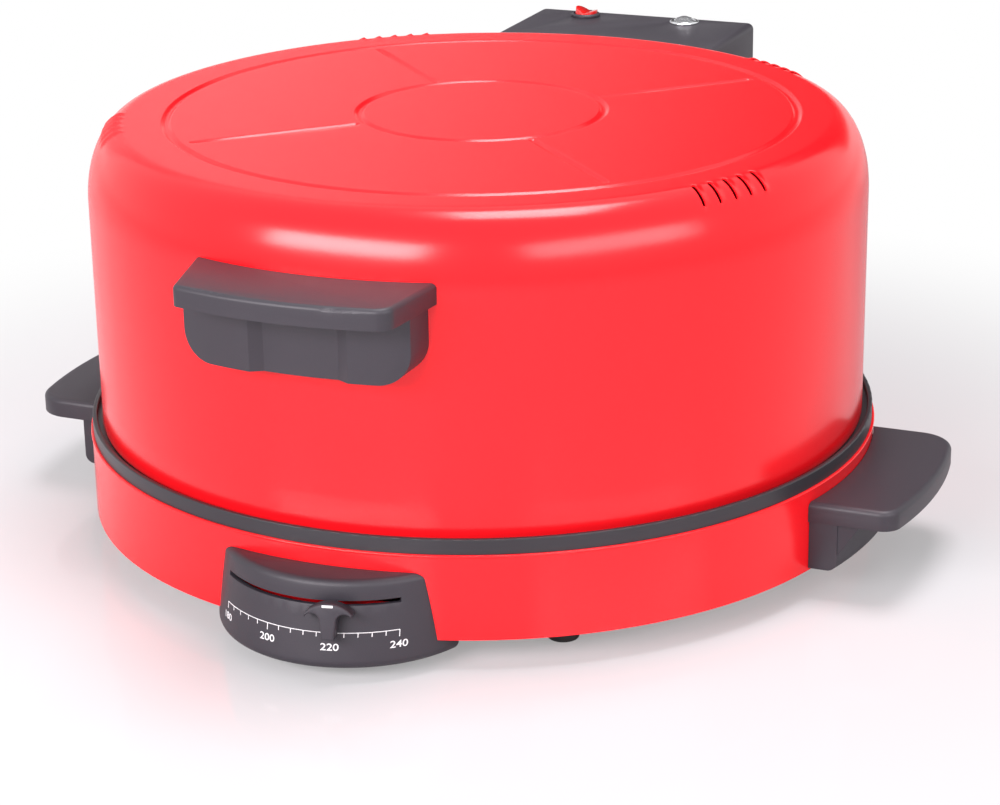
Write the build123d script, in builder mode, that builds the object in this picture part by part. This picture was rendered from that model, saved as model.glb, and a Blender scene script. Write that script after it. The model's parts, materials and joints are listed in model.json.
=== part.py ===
from build123d import *

import os
from math import asin, atan, cos, degrees, radians, sin, sqrt, tan

# A countertop roti maker: a round base with a non-stick plate, and a deep hinged lid with an
# element of its own. Millimetres, +Z up, front towards -Y, right towards +X. The origin is on
# the worktop below the centre of the plate.

os.makedirs("parts", exist_ok=True)

# Overall form
foot_height = 15.0
base_height = 45.0
rim_height = 8.0
lid_height = 162.5
base_radius = 215.3
lid_gap = 3.0

# Sheet and casting walls
shell_wall = 0.8
cover_wall = 1.0
liner_wall = 0.6
rim_wall = 2.5
plate_wall = 4.5
plastic_wall = 2.5

# Named clearances
fit = 0.2
seat_gap = 0.3
running_gap = 0.05
hole_gap = 0.1

# Feet
foot_radius = 9.0
foot_inset = 33.7
foot_angle = 54.3

# Base drum
top_flange = 10.0
bottom_flange = 15.0
edge_bead = 0.8
cover_inset = 9.3
cover_vents = 18
cover_vent_length = 34.0
cover_vent_width = 4.0
cover_vent_ring = 105.0

# Cooking plate and what is bolted under it
rim_inset = 0.8
pan_inset = 16.0
pan_depth = 3.0
pan_slope = 4.0
element_inset = 38.0
element_spacing = 65.0
element_tube = 3.5
element_gap = 22.0
pin_length = 22.0
pin_proud = 10.0
bar_width = 14.0
bar_wall = 1.5
bar_overhang = 9.0
bar_screw_radius = 2.0
bar_head = 2.0
shield_clearance = 1.7
shield_inset = 25.0
bolt_inset = 37.0
bolt_radius = 2.5
bolt_boss = 7.0
bolt_grip = 8.0

# Thermostat, its dial housing and lever
dial_x = 3.0
dial_inset = 49.7
dial_round = 70.0
dial_lean = 8.5
dial_top_drop = 9.5
dial_foot_drop = 9.0
dial_top_fillet = 4.0
dial_foot_fillet = 4.5
slot_drop = 20.5
slot_height = 2.4
slot_half = 42.0
lever_rest = slot_half / 3
lever_wall = 1.6
lever_width = 4.0
shaft_radius = 3.0
hub_radius = 7.0
thermostat_width = 36.0
thermostat_depth = 30.0
thermostat_height = 12.0
bushing_radius = 6.0
bracket_wall = 1.5
bracket_rise = 5.0
bracket_flange = 12.0
knob_gap = 1.2
knob_reach = 8.5
knob_span = 24.0
knob_rise = 2.0
knob_drop = 16.0
knob_stem = 8.0
knob_bar = 3.2

# Side handles
handle_depth = 43.0
handle_half = 61.0
handle_near_corner = 10.0
handle_far_corner = 20.0
handle_drop = 7.0
handle_wall = 10.5
bracket_reach = 14.5
bracket_edge = 5.0
gusset_wall = 6.0
gusset_half = 60.0
gusset_foot = 10.0
gusset_top = 17.0
gusset_step = 0.8
gusset_rise = 1.5
handle_edge = 3.0

# Lid drum
lid_tuck = 3.0
shoulder_width = 21.0
shoulder_drop = 39.0
bead_width = 8.0
bead_depth = 1.8
hub_bead = 69.5
ring_bead_inset = 19.0
spoke_inner_gap = 6.5
spoke_outer_gap = 8.5
vent_angles = (-28.0, -152.0, 52.0, 128.0)
vent_count = 5
vent_pitch = 2.9
vent_width = 1.5
vent_drop = 8.2
vent_start = 2.5

# Lid lining and element
liner_inset = 9.0
liner_drop = 52.5
liner_skirt = 10.0
liner_lift = 2.0
lid_element_drop = 26.0

# Lid handle
shelf_half = 64.0
shelf_left_taper = 12.0
shelf_right_taper = 4.0
shelf_depth = 42.6
shelf_arc = 229.0
shelf_drop = 31.5
shelf_wall = 10.5
shelf_left_corner = 5.0
shelf_right_corner = 9.0
shelf_edge = 2.5
grip_half = 60.0
grip_depth = 20.0
grip_recess = 4.0
grip_recess_half = 20.0
grip_recess_slope = 1.25
grip_height = 45.0
grip_corner = 16.0

# Hinge
hinge_reach = 24.7
hinge_drop = 1.0
pin_radius = 4.0
knuckle_radius = 9.0
knuckle_half = 49.0
ear_radius = 15.0
ear_inner = 50.5
ear_outer = 66.5
hinge_foot_drop = 2.0
saddle_drop = 18.0
arm_wall = 4.0
arm_x = 30.0
strap_half = 42.0
strap_wall = 2.0
strap_lift = 23.0
strap_height = 73.0

# Box behind the lid, with the switch and the lamp
box_half = 69.4
box_shift = 2.9
box_depth = 18.9
box_lift = 3.0
box_drop = 1.0
box_edge = 4.5
skirt_radius = 15.0
skirt_sweep = 75.0
control_x = 32.0
control_inset = 15.4
bezel_radius = 8.8
bezel_rise = 2.2
bezel_bore = 7.4
rocker_radius = 6.7
rocker_tilt = 8.0
rocker_crest = 6.0
rocker_valley = 3.0
rocker_keel = 4.0
trunnion_radius = 1.2
switch_body_radius = 8.0
switch_body_length = 24.0
lamp_flange = 8.8
lamp_bore = 6.4
lamp_dome = 3.2

# Supply inlet
gland_radius = 8.0
gland_flange = 1.6
gland_nose = 2.2
gland_bore = 3.6
gland_lift = 12.0

# Screws
screw_radius = 1.75
screw_head = 3.5
screw_head_height = 2.2

# Levels and radii that follow
base_bottom = foot_height + cover_wall
rim_radius = base_radius - rim_inset
lid_radius = rim_radius - rim_wall - lid_gap
cover_radius = base_radius - cover_inset
foot_ring = base_radius - foot_inset
pan_radius = rim_radius - pan_inset
shield_radius = base_radius - shield_inset
element_radii = (shield_radius - element_inset, shield_radius - element_inset - element_spacing)
bar_ring = sum(element_radii) / 2
bolt_ring = base_radius - bolt_inset
base_top = base_bottom + base_height
rim_top = base_top + rim_height
lid_bottom = rim_top - lid_tuck
lid_top = lid_bottom + lid_height
deck_radius = lid_radius - shoulder_width
ring_bead = deck_radius - ring_bead_inset
spoke_inner = hub_bead + spoke_inner_gap
spoke_outer = ring_bead - spoke_outer_gap
plate_ledge = lid_bottom - seat_gap
plate_floor = plate_ledge - pan_depth
plate_under = plate_floor - plate_wall
spigot_radius = base_radius - top_flange - 2 * fit
element_level = plate_under - element_tube
bar_top = plate_under - 2 * element_tube
shield_top = bar_top - bar_wall - bar_head - shield_clearance
shield_level = shield_top - liner_wall
base_inside = base_radius - shell_wall
lid_inside = lid_radius - shell_wall
dial_y = dial_inset - base_radius
dial_top = base_top - dial_top_drop
dial_foot = base_bottom - dial_foot_drop
dial_height = dial_top - dial_foot
dial_taper = degrees(atan(dial_lean / dial_height))
lever_window = 2 * dial_inset * tan(radians(slot_half))
slot_level = base_top - slot_drop
handle_reach = base_radius + handle_depth
handle_top = base_top - handle_drop
handle_under = handle_top - handle_wall
gusset_foot_level = base_bottom + gusset_rise
bar_inner = element_radii[1] - bar_overhang
bar_outer = element_radii[0] + bar_overhang
liner_radius = lid_radius - liner_inset
liner_foot = lid_bottom + liner_lift
liner_top = lid_top - liner_drop
lid_element_level = liner_top - lid_element_drop
shelf_front = lid_radius + shelf_depth
shelf_level = lid_top - shelf_drop
shelf_under = shelf_level - shelf_wall
grip_front = lid_radius + grip_depth
grip_bottom = shelf_level - grip_height
hinge_y = base_radius + hinge_reach
hinge_z = base_top - hinge_drop
hinge_foot = base_bottom - hinge_foot_drop
saddle_level = hinge_z - saddle_drop
ear_root = base_top - 2 * edge_bead - fit
strap_bottom = rim_top + strap_lift
strap_top = strap_bottom + strap_height
box_back = hinge_y + box_depth
box_bottom = hinge_z + ear_radius + box_lift
box_top = lid_top - box_drop
control_y = box_back - control_inset
gland_level = base_bottom + gland_lift

UP = (Align.CENTER, Align.CENTER, Align.MIN)
DOWN = (Align.CENTER, Align.CENTER, Align.MAX)


def on_circle(radius, angle, height=None):
    """A point on a circle round the plate's axis, angle from +X, as (x, y) or (x, y, z)."""
    x = radius * cos(radians(angle))
    y = radius * sin(radians(angle))
    return (x, y) if height is None else (x, y, height)


def radial_plane(radius, angle, height, outward=True):
    """A plane on a vertical cylinder, whose normal points away from the axis or towards it."""
    sign = 1 if outward else -1
    return Plane(
        origin=on_circle(radius, angle, height),
        x_dir=(-sign * sin(radians(angle)), sign * cos(radians(angle)), 0),
        z_dir=(sign * cos(radians(angle)), sign * sin(radians(angle)), 0),
    )


def inner_seat(radius, head=screw_head):
    """How far out a flat screw head can sit inside a round wall of the radius."""
    return sqrt(radius**2 - head**2)


def radial_bores(angles, height, depth, wall_radius, radius=screw_radius):
    """Pilot holes outwards from inside a round wall, each to a depth beyond the wall."""
    bores(
        [radial_plane(wall_radius - 3, a, height, False) for a in angles], depth + 3, radius
    )


def sector(inner, outer, middle, half, flare=0.0):
    """A ring sector as a face of the sketch that is open, wider outside by the flare."""
    wide = half + flare
    with BuildLine() as outline:
        CenterArc((0, 0), outer, middle - wide, 2 * wide)
        CenterArc((0, 0), inner, middle - half, 2 * half)
        Line(on_circle(inner, middle - half), on_circle(outer, middle - wide))
        Line(on_circle(inner, middle + half), on_circle(outer, middle + wide))
    make_face(outline.edges())


def screws(places, length, radius=screw_radius, head=screw_head, height=screw_head_height):
    """Pan-head screws: each place is the seat of a head, with its normal out of the head."""
    with BuildPart() as made:
        with Locations(*places):
            Cylinder(radius, length, align=DOWN)
            Cylinder(head, height, align=UP)
    return made.part


def bores(places, depth, radius):
    """Cuts a hole down from each place in the part that is open, along the place's normal."""
    with Locations(*places):
        Cylinder(radius, depth, align=DOWN, mode=Mode.SUBTRACT)


# Places that pieces share
foot_angles = [s * foot_angle + turn for turn in (0, 180) for s in (-1, 1)]
foot_places = [Plane(on_circle(foot_ring, a, 0)) for a in foot_angles]
bolt_angles = (45, 135, 225, 315)
bar_angles = (20, 110, 200, 290)
handle_angles = {"right": 0, "left": 180}
handle_screw_spread = 10.0
handle_screw_level = (handle_under + gusset_foot_level) / 2 + 1.0
handle_boss = 5.0
dial_screw_angles = (-90 - 9.0, -90 + 10.6)
dial_screw_level = base_bottom + 11.0
dial_boss = 4.5
grip_screw_angles = (-90 - 10.5, -90 + 10.5)
grip_screw_level = shelf_under - 15.5
grip_boss = 5.5
strap_screw_angles = (90 - 5.0, 90 + 5.0)
strap_screw_levels = (strap_bottom + 12, strap_top - 12)
box_screw_angles = (90 - 17.0, 90 + 17.0)
box_screw_levels = (box_bottom + 20, lid_top - shoulder_drop - 12)
box_boss = 5.5
box_boss_length = 12.0
ear_screw_angles = (90 - 15.5, 90 + 15.5)
ear_screw_level = base_bottom + 14
cover_screw_ring = cover_radius - 5.0
cover_screw_angles = (0, 45, 135, 180, 225, 315)

# Base drum: a rolled wall with a flange at each edge
with BuildPart() as base_shell:
    with BuildSketch(Plane.XZ):
        with BuildLine():
            Polyline(
                (base_radius - bottom_flange, base_bottom),
                (base_radius, base_bottom),
                (base_radius, base_top),
                (base_radius - top_flange, base_top),
                (base_radius - top_flange, base_top - shell_wall),
                (base_inside, base_top - shell_wall),
                (base_inside, base_bottom + shell_wall),
                (base_radius - bottom_flange, base_bottom + shell_wall),
                close=True,
            )
        make_face()
        with Locations((base_radius - edge_bead / 4, base_top - edge_bead)):
            Circle(edge_bead)
    revolve(axis=Axis.Z)
    with Locations((dial_x, -base_radius, slot_level)):
        Box(lever_window, 40, 11, mode=Mode.SUBTRACT)
    with Locations((0, base_radius, gland_level)):
        Box(40, 12, 12, mode=Mode.SUBTRACT)
    bores(
        [radial_plane(base_radius + 2, a + s * handle_screw_spread, handle_screw_level)
         for a in handle_angles.values() for s in (-1, 1)],
        6, screw_radius + hole_gap,
    )
    bores(
        [radial_plane(base_radius + 2, a, dial_screw_level) for a in dial_screw_angles],
        6, screw_radius + hole_gap,
    )
    bores(
        [radial_plane(base_radius + 2, a, ear_screw_level) for a in ear_screw_angles],
        6, screw_radius + hole_gap,
    )
    bores(
        [Plane(on_circle(cover_screw_ring, a, base_bottom + 2)) for a in cover_screw_angles],
        4, screw_radius + hole_gap,
    )
base_shell.part.label = "base_shell"
export_step(base_shell.part, "parts/base_shell.step")

# Bottom cover: a disc under the drum with radial vents
with BuildPart() as bottom_cover:
    with BuildSketch(Plane.XY.offset(foot_height)):
        Circle(cover_radius)
        with PolarLocations(cover_vent_ring, cover_vents):
            SlotOverall(cover_vent_length, cover_vent_width, mode=Mode.SUBTRACT)
        with PolarLocations(bolt_ring, len(bolt_angles), start_angle=bolt_angles[0]):
            Circle(bolt_radius + hole_gap, mode=Mode.SUBTRACT)
        with Locations(*[(p.origin.X, p.origin.Y) for p in foot_places]):
            Circle(screw_radius + hole_gap, mode=Mode.SUBTRACT)
        with Locations(*[on_circle(cover_screw_ring, a) for a in cover_screw_angles]):
            Circle(screw_radius + hole_gap, mode=Mode.SUBTRACT)
    extrude(amount=cover_wall)
bottom_cover.part.label = "bottom_cover"
export_step(bottom_cover.part, "parts/bottom_cover.step")

cover_screws = screws(
    [Plane(on_circle(cover_screw_ring, a, foot_height), z_dir=(0, 0, -1))
     for a in cover_screw_angles],
    cover_wall + shell_wall + 3,
)
cover_screws.label = "cover_screws"
export_step(cover_screws, "parts/cover_screws.step")

# Rubber feet, each with a recess for its screw
foot_recess = 6.0
with BuildPart() as feet:
    with Locations(*foot_places):
        Cone(foot_radius - 1, foot_radius + 1, foot_height, align=UP)
        Cylinder(screw_head + 0.6, foot_recess, align=UP, mode=Mode.SUBTRACT)
        Cylinder(screw_radius + hole_gap, foot_height, align=UP, mode=Mode.SUBTRACT)
    fillet(feet.edges().filter_by(GeomType.CIRCLE).group_by(Axis.Z)[0].sort_by(
        SortBy.RADIUS)[-len(foot_places):], 1.0)
feet.part.label = "feet"
export_step(feet.part, "parts/feet.step")

foot_screws = screws(
    [Plane((p.origin.X, p.origin.Y, foot_recess), z_dir=(0, 0, -1)) for p in foot_places],
    foot_height - foot_recess + cover_wall + 3,
)
foot_screws.label = "foot_screws"
export_step(foot_screws, "parts/foot_screws.step")

# Cooking plate: a cast pan whose upright rim shows as the dark band round the waist
with BuildPart() as cooking_plate:
    with BuildSketch(Plane.XZ):
        with BuildLine():
            Polyline(
                (0, plate_floor),
                (pan_radius - pan_slope, plate_floor),
                (pan_radius, plate_ledge),
                (rim_radius - rim_wall, plate_ledge),
                (rim_radius - rim_wall, rim_top),
                (rim_radius, rim_top),
                (rim_radius, base_top),
                (spigot_radius, base_top),
                (spigot_radius, plate_under),
                (0, plate_under),
                close=True,
            )
        make_face()
    revolve(axis=Axis.Z)
    fillet(
        cooking_plate.edges().filter_by(GeomType.CIRCLE).group_by(Axis.Z)[-1], rim_wall / 4
    )
    with BuildSketch(Plane.XY.offset(plate_under)):
        with Locations(*[on_circle(bolt_ring, a) for a in bolt_angles]):
            Circle(bolt_boss)
    extrude(amount=shield_top - plate_under)
    with BuildSketch(Plane.XY.offset(plate_under)):
        with Locations(*[on_circle(bar_ring, a) for a in bar_angles]):
            Circle(bar_width / 2 - 1)
    extrude(amount=bar_top - plate_under)
    bores(
        [Plane(on_circle(bolt_ring, a, shield_top), z_dir=(0, 0, -1)) for a in bolt_angles],
        bolt_grip, bolt_radius,
    )
    bores(
        [Plane(on_circle(bar_ring, a, bar_top), z_dir=(0, 0, -1)) for a in bar_angles],
        7, bar_screw_radius,
    )
cooking_plate.part.label = "cooking_plate"
export_step(cooking_plate.part, "parts/cooking_plate.step")


def ring_element(level, length, align):
    """Two open rings of heater tube, each with its two ends turned up or down as pins."""
    with BuildPart() as made:
        for radius in element_radii:
            spread = degrees(asin(element_gap / 2 / radius))
            ends = [on_circle(radius, 90 + s * spread, level) for s in (-1, 1)]
            start = Plane(ends[1], x_dir=on_circle(1, 90 + spread, 0), z_dir=on_circle(1, spread, 0))
            with BuildSketch(start):
                Circle(element_tube)
            revolve(axis=Axis.Z, revolution_arc=360 - 2 * spread)
            with Locations(*ends):
                Sphere(element_tube)
                Cylinder(element_tube, length, align=align)
    return made.part


def pin_places():
    """Where the pins of an element pass a sheet, as points of its sketch plane."""
    return [
        on_circle(r, 90 + s * degrees(asin(element_gap / 2 / r)))
        for r in element_radii for s in (-1, 1)
    ]


lower_element = ring_element(element_level, pin_length, DOWN)
lower_element.label = "lower_element"
export_step(lower_element, "parts/lower_element.step")


def clamp_bars(level):
    """Flat bars across both element rings, with the top face at the level."""
    with BuildPart() as made:
        for angle in bar_angles:
            frame = Plane(
                (0, 0, level - bar_wall), x_dir=on_circle(1, angle, 0), z_dir=(0, 0, 1)
            )
            with BuildSketch(frame):
                with Locations(((bar_inner + bar_outer) / 2, 0)):
                    SlotOverall(bar_outer - bar_inner, bar_width)
                with Locations((bar_ring, 0)):
                    Circle(bar_screw_radius + hole_gap, mode=Mode.SUBTRACT)
            extrude(amount=bar_wall)
    return made.part


element_bars = clamp_bars(bar_top)
element_bars.label = "element_bars"
export_step(element_bars, "parts/element_bars.step")

bar_screws = screws(
    [Plane(on_circle(bar_ring, a, bar_top - bar_wall), z_dir=(0, 0, -1)) for a in bar_angles],
    bar_wall + 6, bar_screw_radius, bar_screw_radius * 1.9, bar_head,
)
bar_screws.label = "bar_screws"
export_step(bar_screws, "parts/bar_screws.step")

# Heat shield: a shallow steel dish under the lower element
with BuildPart() as heat_shield:
    with BuildSketch(Plane.XZ):
        with BuildLine():
            Polyline(
                (0, shield_level),
                (shield_radius, shield_level),
                (shield_radius, plate_under - 1),
                (shield_radius - liner_wall, plate_under - 1),
                (shield_radius - liner_wall, shield_top),
                (0, shield_top),
                close=True,
            )
        make_face()
    revolve(axis=Axis.Z)
    with BuildSketch(Plane.XY.offset(shield_top)):
        with Locations(*[on_circle(bolt_ring, a) for a in bolt_angles]):
            Circle(bolt_radius + hole_gap)
        with Locations(*pin_places()):
            Circle(element_tube + 1.5)
    extrude(amount=-liner_wall, mode=Mode.SUBTRACT)
heat_shield.part.label = "heat_shield"
export_step(heat_shield.part, "parts/heat_shield.step")

# Sleeves and bolts that hold plate, shield and cover together
with BuildPart() as spacer_sleeves:
    with BuildSketch(Plane.XY.offset(base_bottom)):
        with Locations(*[on_circle(bolt_ring, a) for a in bolt_angles]):
            Circle(bolt_radius + 2)
            Circle(bolt_radius + hole_gap, mode=Mode.SUBTRACT)
    extrude(amount=shield_level - base_bottom)
spacer_sleeves.part.label = "spacer_sleeves"
export_step(spacer_sleeves.part, "parts/spacer_sleeves.step")

bolt_head_height = 3.2
with BuildPart() as tie_bolts:
    with Locations(*[on_circle(bolt_ring, a, foot_height) for a in bolt_angles]):
        Cylinder(bolt_radius, shield_top + bolt_grip - 1 - foot_height, align=UP)
    with BuildSketch(Plane.XY.offset(foot_height)):
        with Locations(*[on_circle(bolt_ring, a) for a in bolt_angles]):
            RegularPolygon(bolt_radius * 1.8, 6)
    extrude(amount=-bolt_head_height)
tie_bolts.part.label = "tie_bolts"
export_step(tie_bolts.part, "parts/tie_bolts.step")

# Terminal block on the cover, where the supply lead is joined
block_y = 150.0
block_height = 14.0
block_pitch = 10.0
with BuildPart() as terminal_block:
    with Locations((0, block_y, base_bottom)):
        Box(3 * block_pitch, 16, block_height, align=UP)
    chamfer(terminal_block.faces().sort_by(Axis.Z)[-1].edges(), 1.0)
    with Locations(*[(k * block_pitch, block_y, base_bottom + block_height) for k in (-1, 0, 1)]):
        Hole(2.2, 6)
terminal_block.part.label = "terminal_block"
export_step(terminal_block.part, "parts/terminal_block.step")


# Thermostat: its bracket, body, shaft, lever and knob
bracket_top = base_bottom + bracket_rise
with BuildPart() as thermostat_bracket:
    span = thermostat_width + 10
    with Locations((dial_x, dial_y, bracket_top)):
        Box(span, thermostat_depth - 6, bracket_wall, align=DOWN)
    for side in (-1, 1):
        with Locations((dial_x + side * (span - bracket_wall) / 2, dial_y, base_bottom)):
            Box(bracket_wall, thermostat_depth - 6, bracket_rise, align=UP)
        with Locations((dial_x + side * (span + bracket_flange) / 2, dial_y, base_bottom)):
            Box(bracket_flange, thermostat_depth - 6, bracket_wall, align=UP)
thermostat_bracket.part.label = "thermostat_bracket"
export_step(thermostat_bracket.part, "parts/thermostat_bracket.step")

shaft_foot = bracket_top + 2
bushing_top = slot_level - lever_wall / 2 - 1.5
with BuildPart() as thermostat_body:
    with Locations((dial_x, dial_y, bracket_top)):
        Box(thermostat_width, thermostat_depth, thermostat_height, align=UP)
    fillet(thermostat_body.edges().filter_by(Axis.Z), 3)
    with Locations((dial_x, dial_y, bracket_top)):
        Cylinder(bushing_radius, bushing_top - bracket_top, align=UP)
    bores([Plane((dial_x, dial_y, bushing_top))], bushing_top - shaft_foot,
          shaft_radius + running_gap)
thermostat_body.part.label = "thermostat_body"
export_step(thermostat_body.part, "parts/thermostat_body.step")

lever_top = slot_level + lever_wall / 2
hub_foot = bushing_top + seat_gap
with BuildPart() as thermostat_shaft:
    with Locations((dial_x, dial_y, shaft_foot + seat_gap)):
        Cylinder(shaft_radius, lever_top + 2.5 - shaft_foot - seat_gap, align=UP)
    chamfer(thermostat_shaft.faces().sort_by(Axis.Z)[-1].edges(), 0.5)
thermostat_shaft.part.label = "thermostat_shaft"
export_step(thermostat_shaft.part, "parts/thermostat_shaft.step")


def leaning_drum(radius, low, high):
    """A round form between two levels that leans back as the dial housing's front does."""
    slope = dial_lean / dial_height
    with BuildPart() as made:
        with BuildSketch(Plane((dial_x, dial_y - (slot_level - low) * slope, low))):
            Circle(radius)
        extrude(amount=(high - low) * sqrt(1 + slope**2), dir=Vector(0, slope, 1).normalized())
    return made.part


def lever_plane(height):
    """A level plane at the dial's pivot, with its X axis along the lever at rest."""
    return Plane(
        (dial_x, dial_y, height),
        x_dir=on_circle(1, lever_rest - 90, 0),
        z_dir=(0, 0, 1),
    )


knob_root = dial_round + knob_gap
knob_tip = knob_root + knob_reach
with BuildPart() as lever_arm:
    with BuildSketch(lever_plane(lever_top - lever_wall)):
        with Locations((knob_tip / 2 - 2, 0)):
            Rectangle(knob_tip - 4, lever_width)
        Circle(hub_radius)
        Circle(shaft_radius, mode=Mode.SUBTRACT)
    extrude(amount=lever_wall)
    with BuildSketch(lever_plane(hub_foot)):
        Circle(hub_radius - 1)
        Circle(shaft_radius, mode=Mode.SUBTRACT)
    extrude(amount=lever_top + 1.5 - hub_foot)
lever_arm.part.label = "lever_arm"
export_step(lever_arm.part, "parts/lever_arm.step")

# The knob is a thumb piece: a drooping bar over a stem that tapers to its foot
knob_face = Plane(
    origin=lever_plane(0).from_local_coords((knob_root, 0, slot_level)),
    x_dir=on_circle(1, lever_rest, 0),
    z_dir=on_circle(cos(radians(dial_taper)), lever_rest - 90, sin(radians(dial_taper))),
)
with BuildPart() as lever_knob:
    with BuildSketch(knob_face):
        with BuildLine():
            half, stem = knob_span / 2, knob_stem / 2
            ThreePointArc((-half, -knob_bar), (0, knob_rise), (half, -knob_bar))
            Line((half, -knob_bar), (half - 0.4, -1.6 * knob_bar))
            for s in (1, -1):
                ThreePointArc(
                    (s * (half - 0.4), -1.6 * knob_bar),
                    (s * (stem + 3), -knob_bar),
                    (s * stem, -2.2 * knob_bar),
                )
                Line((s * stem, -2.2 * knob_bar), (s * (stem - 1), -knob_drop))
            Line((stem - 1, -knob_drop), (1 - stem, -knob_drop))
            Line((0.4 - half, -1.6 * knob_bar), (-half, -knob_bar))
        make_face()
    extrude(amount=knob_reach)
    tip = lever_knob.faces().sort_by(Axis((0, 0, 0), on_circle(1, lever_rest - 90, 0)))[-1]
    chamfer(tip.edges(), 0.6)
    with BuildSketch(lever_plane(lever_top - lever_wall)):
        with Locations((knob_root, 0)):
            Rectangle(2 * (knob_tip - 4 - knob_root), lever_width)
    extrude(amount=lever_wall, mode=Mode.SUBTRACT)
lever_knob.part.label = "lever_knob"
export_step(lever_knob.part, "parts/lever_knob.step")


# Dial housing: a leaning round front, hollow, open where it meets the drum
with BuildPart() as dial_bosses:
    for angle in dial_screw_angles:
        with Locations(radial_plane(base_radius - 2, angle, dial_screw_level)):
            Cylinder(dial_boss, dial_round, align=UP)
    add(leaning_drum(dial_round - plastic_wall / 2, dial_foot, dial_top), mode=Mode.INTERSECT)
with BuildPart() as thermostat_housing:
    add(leaning_drum(dial_round, dial_foot, dial_top))
    fillet(thermostat_housing.faces().sort_by(Axis.Z)[-1].edges(), dial_top_fillet)
    fillet(thermostat_housing.faces().sort_by(Axis.Z)[0].edges(), dial_foot_fillet)
    add(
        leaning_drum(
            dial_round - plastic_wall, dial_foot + plastic_wall, dial_top - plastic_wall
        ),
        mode=Mode.SUBTRACT,
    )
    add(dial_bosses.part)
    with Locations((0, 0, base_bottom - fit)):
        Cylinder(base_radius + fit, dial_height * 2, align=UP, mode=Mode.SUBTRACT)
    with Locations((0, 0, foot_height - fit)):
        Cylinder(cover_radius + fit, dial_height * 2, align=UP, mode=Mode.SUBTRACT)
    Cylinder(cover_radius, foot_height, align=UP, mode=Mode.SUBTRACT)
    with BuildSketch(Plane((dial_x, dial_y, slot_level - slot_height / 2))):
        sector(dial_round / 2, dial_round + 8, -90, slot_half)
    extrude(amount=slot_height, mode=Mode.SUBTRACT)
    radial_bores(dial_screw_angles, dial_screw_level, 6, base_radius)
thermostat_housing.part.label = "thermostat_housing"
export_step(thermostat_housing.part, "parts/thermostat_housing.step")

dial_screws = screws(
    [radial_plane(inner_seat(base_inside), a, dial_screw_level, False) for a in dial_screw_angles],
    shell_wall + fit + 5,
)
dial_screws.label = "dial_screws"
export_step(dial_screws, "parts/dial_screws.step")

# Side handles: a level ledge over a hollow apron against the drum, with a gusset at one end
for side, angle in handle_angles.items():
    level = Plane((0, 0, 0), x_dir=on_circle(1, angle, 0), z_dir=(0, 0, 1))
    upright = Plane((0, 0, 0), x_dir=on_circle(1, angle, 0), z_dir=on_circle(1, angle - 90, 0))
    root = sqrt(base_radius**2 - handle_half**2) - 10
    ledge_end = sqrt(handle_reach**2 - handle_half**2)
    with BuildPart() as side_handle:
        with BuildSketch(level.offset(gusset_foot_level)):
            Circle(base_radius + bracket_reach)
            with Locations((root, 0)):
                Rectangle(handle_depth + 20, 2 * gusset_half,
                          align=(Align.MIN, Align.CENTER), mode=Mode.INTERSECT)
        extrude(amount=handle_under - gusset_foot_level)
        apron_foot = side_handle.faces().sort_by(Axis.Z)[0]
        fillet(apron_foot.edges().filter_by(GeomType.CIRCLE), bracket_edge)
        with BuildSketch(level.offset(handle_under)) as ledge:
            with BuildLine():
                Line((root, -handle_half), (ledge_end, -handle_half))
                ThreePointArc(
                    (ledge_end, -handle_half), (handle_reach, 0), (ledge_end, handle_half)
                )
                Line((ledge_end, handle_half), (root, handle_half))
                Line((root, handle_half), (root, -handle_half))
            make_face()
            ends = ledge.vertices().group_by(Axis.X)[-1].sort_by(Axis.Y)
            fillet(ends[0], handle_near_corner)
            fillet(ledge.vertices().sort_by_distance((ledge_end, handle_half))[0], handle_far_corner)
        extrude(amount=handle_wall)
        fillet(side_handle.faces().sort_by(Axis.Z)[-1].edges(), handle_edge)
        with BuildSketch(level.offset(gusset_foot_level + plastic_wall)):
            Circle(base_radius + bracket_reach - plastic_wall)
            with Locations((root, 0)):
                Rectangle(handle_depth + 20, 2 * (gusset_half - plastic_wall),
                          align=(Align.MIN, Align.CENTER), mode=Mode.INTERSECT)
        extrude(amount=handle_under - gusset_foot_level - plastic_wall, mode=Mode.SUBTRACT)
        with BuildSketch(upright.offset(gusset_half - gusset_wall)):
            with BuildLine():
                Polyline(
                    (root, gusset_foot_level),
                    (root + 10 + gusset_foot, gusset_foot_level),
                    (root + 10 + gusset_foot + gusset_top, handle_under),
                    (root, handle_under),
                    close=True,
                )
            make_face()
        extrude(amount=gusset_wall - gusset_step)
        for spread in (-handle_screw_spread, handle_screw_spread):
            with Locations(radial_plane(base_radius - 2, angle + spread, handle_screw_level)):
                Cylinder(handle_boss, bracket_reach + 2 - plastic_wall / 2, align=UP)
        with Locations((0, 0, base_bottom - 5)):
            Cylinder(base_radius + fit, base_height + 20, align=UP, mode=Mode.SUBTRACT)
        radial_bores(
            (angle - handle_screw_spread, angle + handle_screw_spread),
            handle_screw_level, 10, base_radius,
        )
    side_handle.part.label = f"side_handle_{side}"
    export_step(side_handle.part, f"parts/side_handle_{side}.step")

side_handle_screws = screws(
    [radial_plane(inner_seat(base_inside), a + s * handle_screw_spread, handle_screw_level, False)
     for a in handle_angles.values() for s in (-1, 1)],
    shell_wall + fit + 8,
)
side_handle_screws.label = "side_handle_screws"
export_step(side_handle_screws, "parts/side_handle_screws.step")

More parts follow.
